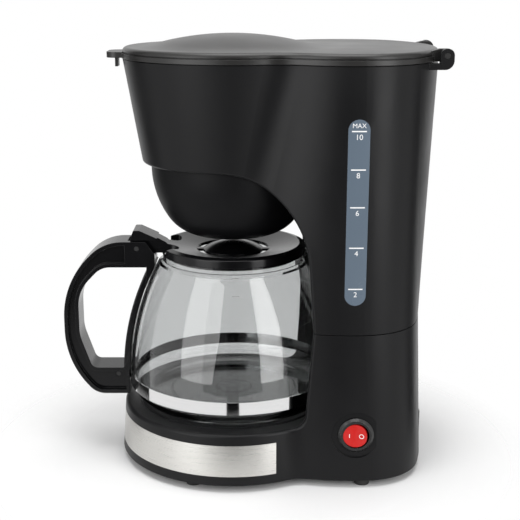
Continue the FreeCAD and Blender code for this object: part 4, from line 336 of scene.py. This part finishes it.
def switch_marks():
    """The line and the ring on the rocker."""
    low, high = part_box("switch_rocker")
    y, z = (low.y + high.y) / 2, (low.z + high.z) / 2
    flat = bmesh.new()
    stroke(flat, ON_WIDTH, ON_HEIGHT, y + ON_Y, z)
    ring = bmesh.ops.create_circle(flat, segments=OFF_SIDES, radius=OFF_RADIUS)
    rim = list({edge for vert in ring["verts"] for edge in vert.link_edges})
    inner = corners_of(bmesh.ops.extrude_edge_only(flat, edges=rim))
    bmesh.ops.scale(flat, verts=inner, vec=(OFF_INNER, OFF_INNER, 1))
    bmesh.ops.transform(flat, verts=ring["verts"] + inner,
                        matrix=Matrix.Translation((0, y + OFF_Y, z)) @ FACING)
    print_on("switch_marks", flat, skin_of("switch_rocker"), "rocker", print_white)


def jug_marks():
    """Two faint level lines on the jug."""
    flat = bmesh.new()
    for z in JUG_LINES:
        stroke(flat, JUG_LINE_WIDTH, JUG_LINE_HEIGHT, BREW_Y + JUG_LINE_Y, z * MM)
    print_on("jug_marks", flat, skin_of("jug_glass"), "jug", print_grey)


gauge_marks()
switch_marks()
jug_marks()


# Strap of the jug handle and spring of the drip stop

STRAP_LOW, STRAP_HIGH = 58.5 * MM, 133.5 * MM
STRAP_WIDTH, STRAP_SHEET, STRAP_GAP = 20.6 * MM, 4.5 * MM, 0.35 * MM
STRAP_CUTS_ACROSS, STRAP_CUTS_ALONG = 4, 30
STRAP_ROUND, STRAP_ROUND_STEPS = 0.8 * MM, 3
SHARP = 1.2  # angle in radians from which an edge of the strap is rounded
IN_FRONT = -0.3  # where rays towards the jug's front start

WIRE_RADIUS, WIRE_SIDES = 0.35 * MM, 10
COIL_TURNS, COIL_STEPS = 4, 96


def handle_strap():
    """Strap that closes the handle's loop along the glass."""
    strap = bmesh.new()
    bmesh.ops.create_grid(strap, x_segments=STRAP_CUTS_ACROSS, y_segments=STRAP_CUTS_ALONG, size=0.5)
    bmesh.ops.scale(strap, verts=strap.verts[:], vec=(STRAP_WIDTH, STRAP_HIGH - STRAP_LOW, 1))
    middle = Matrix.Translation((0, 0, (STRAP_LOW + STRAP_HIGH) / 2))
    bmesh.ops.transform(strap, verts=strap.verts[:], matrix=middle @ QUARTER_TURN)
    glass = skin_of("jug_glass")
    for vert in strap.verts:
        hit = glass.ray_cast(Vector((0, IN_FRONT, vert.co.z)), Vector((0, 1, 0)))[0]
        vert.co.y = hit.y - STRAP_GAP
    shell = bmesh.ops.extrude_face_region(strap, geom=strap.faces[:], use_keep_orig=True)
    bmesh.ops.translate(strap, verts=corners_of(shell), vec=(0, -STRAP_SHEET, 0))
    bmesh.ops.recalc_face_normals(strap, faces=strap.faces[:])
    sharp = [edge for edge in strap.edges
             if len(edge.link_faces) == 2 and edge.calc_face_angle() > SHARP]
    bmesh.ops.bevel(strap, geom=sharp, offset=STRAP_ROUND, segments=STRAP_ROUND_STEPS, profile=0.5,
                    affect="EDGES", material=-1)
    piece = made_of("handle_strap", strap, handle_black)
    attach(piece, "jug")


def drip_spring():
    """Spring of the drip stop, made at one fixed length; the real one gets shorter as the stem
    lifts.
    """
    low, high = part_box("valve_spring")
    rise = high.z - low.z - WIRE_RADIUS * 2
    start = Matrix.Translation((high.x - WIRE_RADIUS, BREW_Y, low.z + WIRE_RADIUS))
    coil = bmesh.new()
    bmesh.ops.create_circle(coil, cap_ends=True, segments=WIRE_SIDES, radius=WIRE_RADIUS,
                            matrix=start @ QUARTER_TURN)
    bmesh.ops.spin(coil, geom=coil.verts[:] + coil.edges[:] + coil.faces[:], cent=(0, BREW_Y, 0),
                   axis=(0, 0, 1), dvec=(0, 0, rise / COIL_STEPS),
                   angle=math.radians(360 * COIL_TURNS), steps=COIL_STEPS)
    bmesh.ops.recalc_face_normals(coil, faces=coil.faces[:])
    piece = made_of("drip_spring", coil, small_steel)
    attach(piece, "housing")
    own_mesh(piece)
    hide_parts("valve_spring")


handle_strap()
drip_spring()


# Studio

FLOOR_RADIUS, FLOOR_SIDES, FLOOR_SHADE = 1.6, 96, 0.86
FADE_START, FADE_END = 0.13, 0.20  # distance at which the floor gives way to the room
PAPER = 0.9  # roughness of floor and cards
ROOM_LIGHT, ROOM_SEEN = 0.45, 1.0  # strength of the room as light, and as what is seen
LENS, SENSOR = 75.88, 36  # mm
EYE_X, EYE_ASIDE, EYE_Z, EYE_TIP = 0.715, 0.018, 0.3208, math.radians(14.67)


def soft_box(name, spot, target, size, watts):
    """Lamp with an even rectangular face that looks at a target."""
    lamp = bpy.data.lights.new(name, "AREA")
    lamp.shape = "RECTANGLE"
    lamp.size, lamp.size_y = size
    lamp.energy = watts
    box = bpy.data.objects.new(name, lamp)
    box.location = spot
    box.rotation_euler = (Vector(target) - Vector(spot)).to_track_quat("-Z", "Y").to_euler()
    bpy.context.scene.collection.objects.link(box)


def floor():
    """Pale floor that fades into the white room away from the machine."""
    flat = bmesh.new()
    bmesh.ops.create_circle(flat, cap_ends=True, segments=FLOOR_SIDES, radius=FLOOR_RADIUS)
    material = finish("floor_paper", grey(FLOOR_SHADE), PAPER, Specular_IOR_Level=0.1)
    spot = wire(material, "TexCoord").outputs["Object"]
    away = wire(material, "VectorMath", {0: spot}, operation="LENGTH").outputs["Value"]
    fade = spread(material, away, 0, 1, FADE_START, FADE_END)
    clear = wire(material, "BsdfTransparent").outputs["BSDF"]
    paper = material.node_tree.nodes["Principled BSDF"].outputs["BSDF"]
    both = wire(material, "MixShader", {0: fade, 1: paper, 2: clear}).outputs["Shader"]
    join(material, both, material.node_tree.nodes["Material Output"].inputs["Surface"])
    made_of("floor", flat, material)


def card(name, shade, spot, width, height):
    """Dark card that the camera doesn't see, for shiny parts to reflect."""
    flat = bmesh.new()
    bmesh.ops.create_grid(flat, x_segments=1, y_segments=1, size=0.5)
    size = Matrix.Diagonal((width, height, 1, 1))
    bmesh.ops.transform(flat, verts=flat.verts[:],
                        matrix=Matrix.Translation(spot) @ FACING @ size)
    piece = made_of(name, flat, finish(name, grey(shade), PAPER, Specular_IOR_Level=0.0))
    piece.visible_camera = False


def room():
    """White room: plain white behind things and in metal and glass, softer as light."""
    world = bpy.data.worlds.new("room")
    bpy.context.scene.world = world
    world.use_nodes = True
    sky = world.node_tree.nodes["Background"]
    sky.inputs["Color"].default_value = (1, 1, 1, 1)
    path = wire(world, "LightPath")
    seen = path.outputs["Is Camera Ray"]
    for ray in ("Is Glossy Ray", "Is Transmission Ray"):
        either = wire(world, "Math", {0: seen, 1: path.outputs[ray]}, operation="MAXIMUM")
        seen = either.outputs["Value"]
    join(world, spread(world, seen, ROOM_LIGHT, ROOM_SEEN, 0, 1), sky.inputs["Strength"])


def camera():
    """Camera of the photograph: beside the machine, a little above its lid."""
    lens = bpy.data.cameras.new("camera")
    lens.lens = LENS
    lens.sensor_width = SENSOR
    eye = bpy.data.objects.new("camera", lens)
    eye.location = (EYE_X, BREW_Y + EYE_ASIDE, EYE_Z)
    look = Vector((-math.cos(EYE_TIP), 0, -math.sin(EYE_TIP)))
    eye.rotation_euler = look.to_track_quat("-Z", "Y").to_euler()
    bpy.context.scene.collection.objects.link(eye)
    bpy.context.scene.camera = eye


floor()
room()
# Behind the camera, a grey card with a black strip in front of it; beside the machine, one card
# on each side for dark edges in the glass.
card("grey_card", 0.12, (1.05, BREW_Y, 0.375), 1.3, 1.25)
card("black_card", 0.005, (1.04, BREW_Y, 0.2), 0.24, 1.6)
card("front_edge_card", 0.02, (-0.25, BREW_Y - 0.72, 0.25), 0.76, 1.5)
card("rear_edge_card", 0.02, (-0.25, BREW_Y + 0.80, 0.25), 0.76, 1.5)
soft_box("top_box", (0.1, 0.0, 1.1), (0, 0, 0.2), (0.8, 0.8), 9)
soft_box("front_box", (0.80, -0.60, 0.35), (0, 0, 0.15), (0.8, 1.0), 7)
soft_box("rear_box", (0.74, 0.67, 0.35), (0, 0, 0.15), (0.5, 1.0), 6)
camera()
bpy.context.scene.view_settings.view_transform = "Standard"
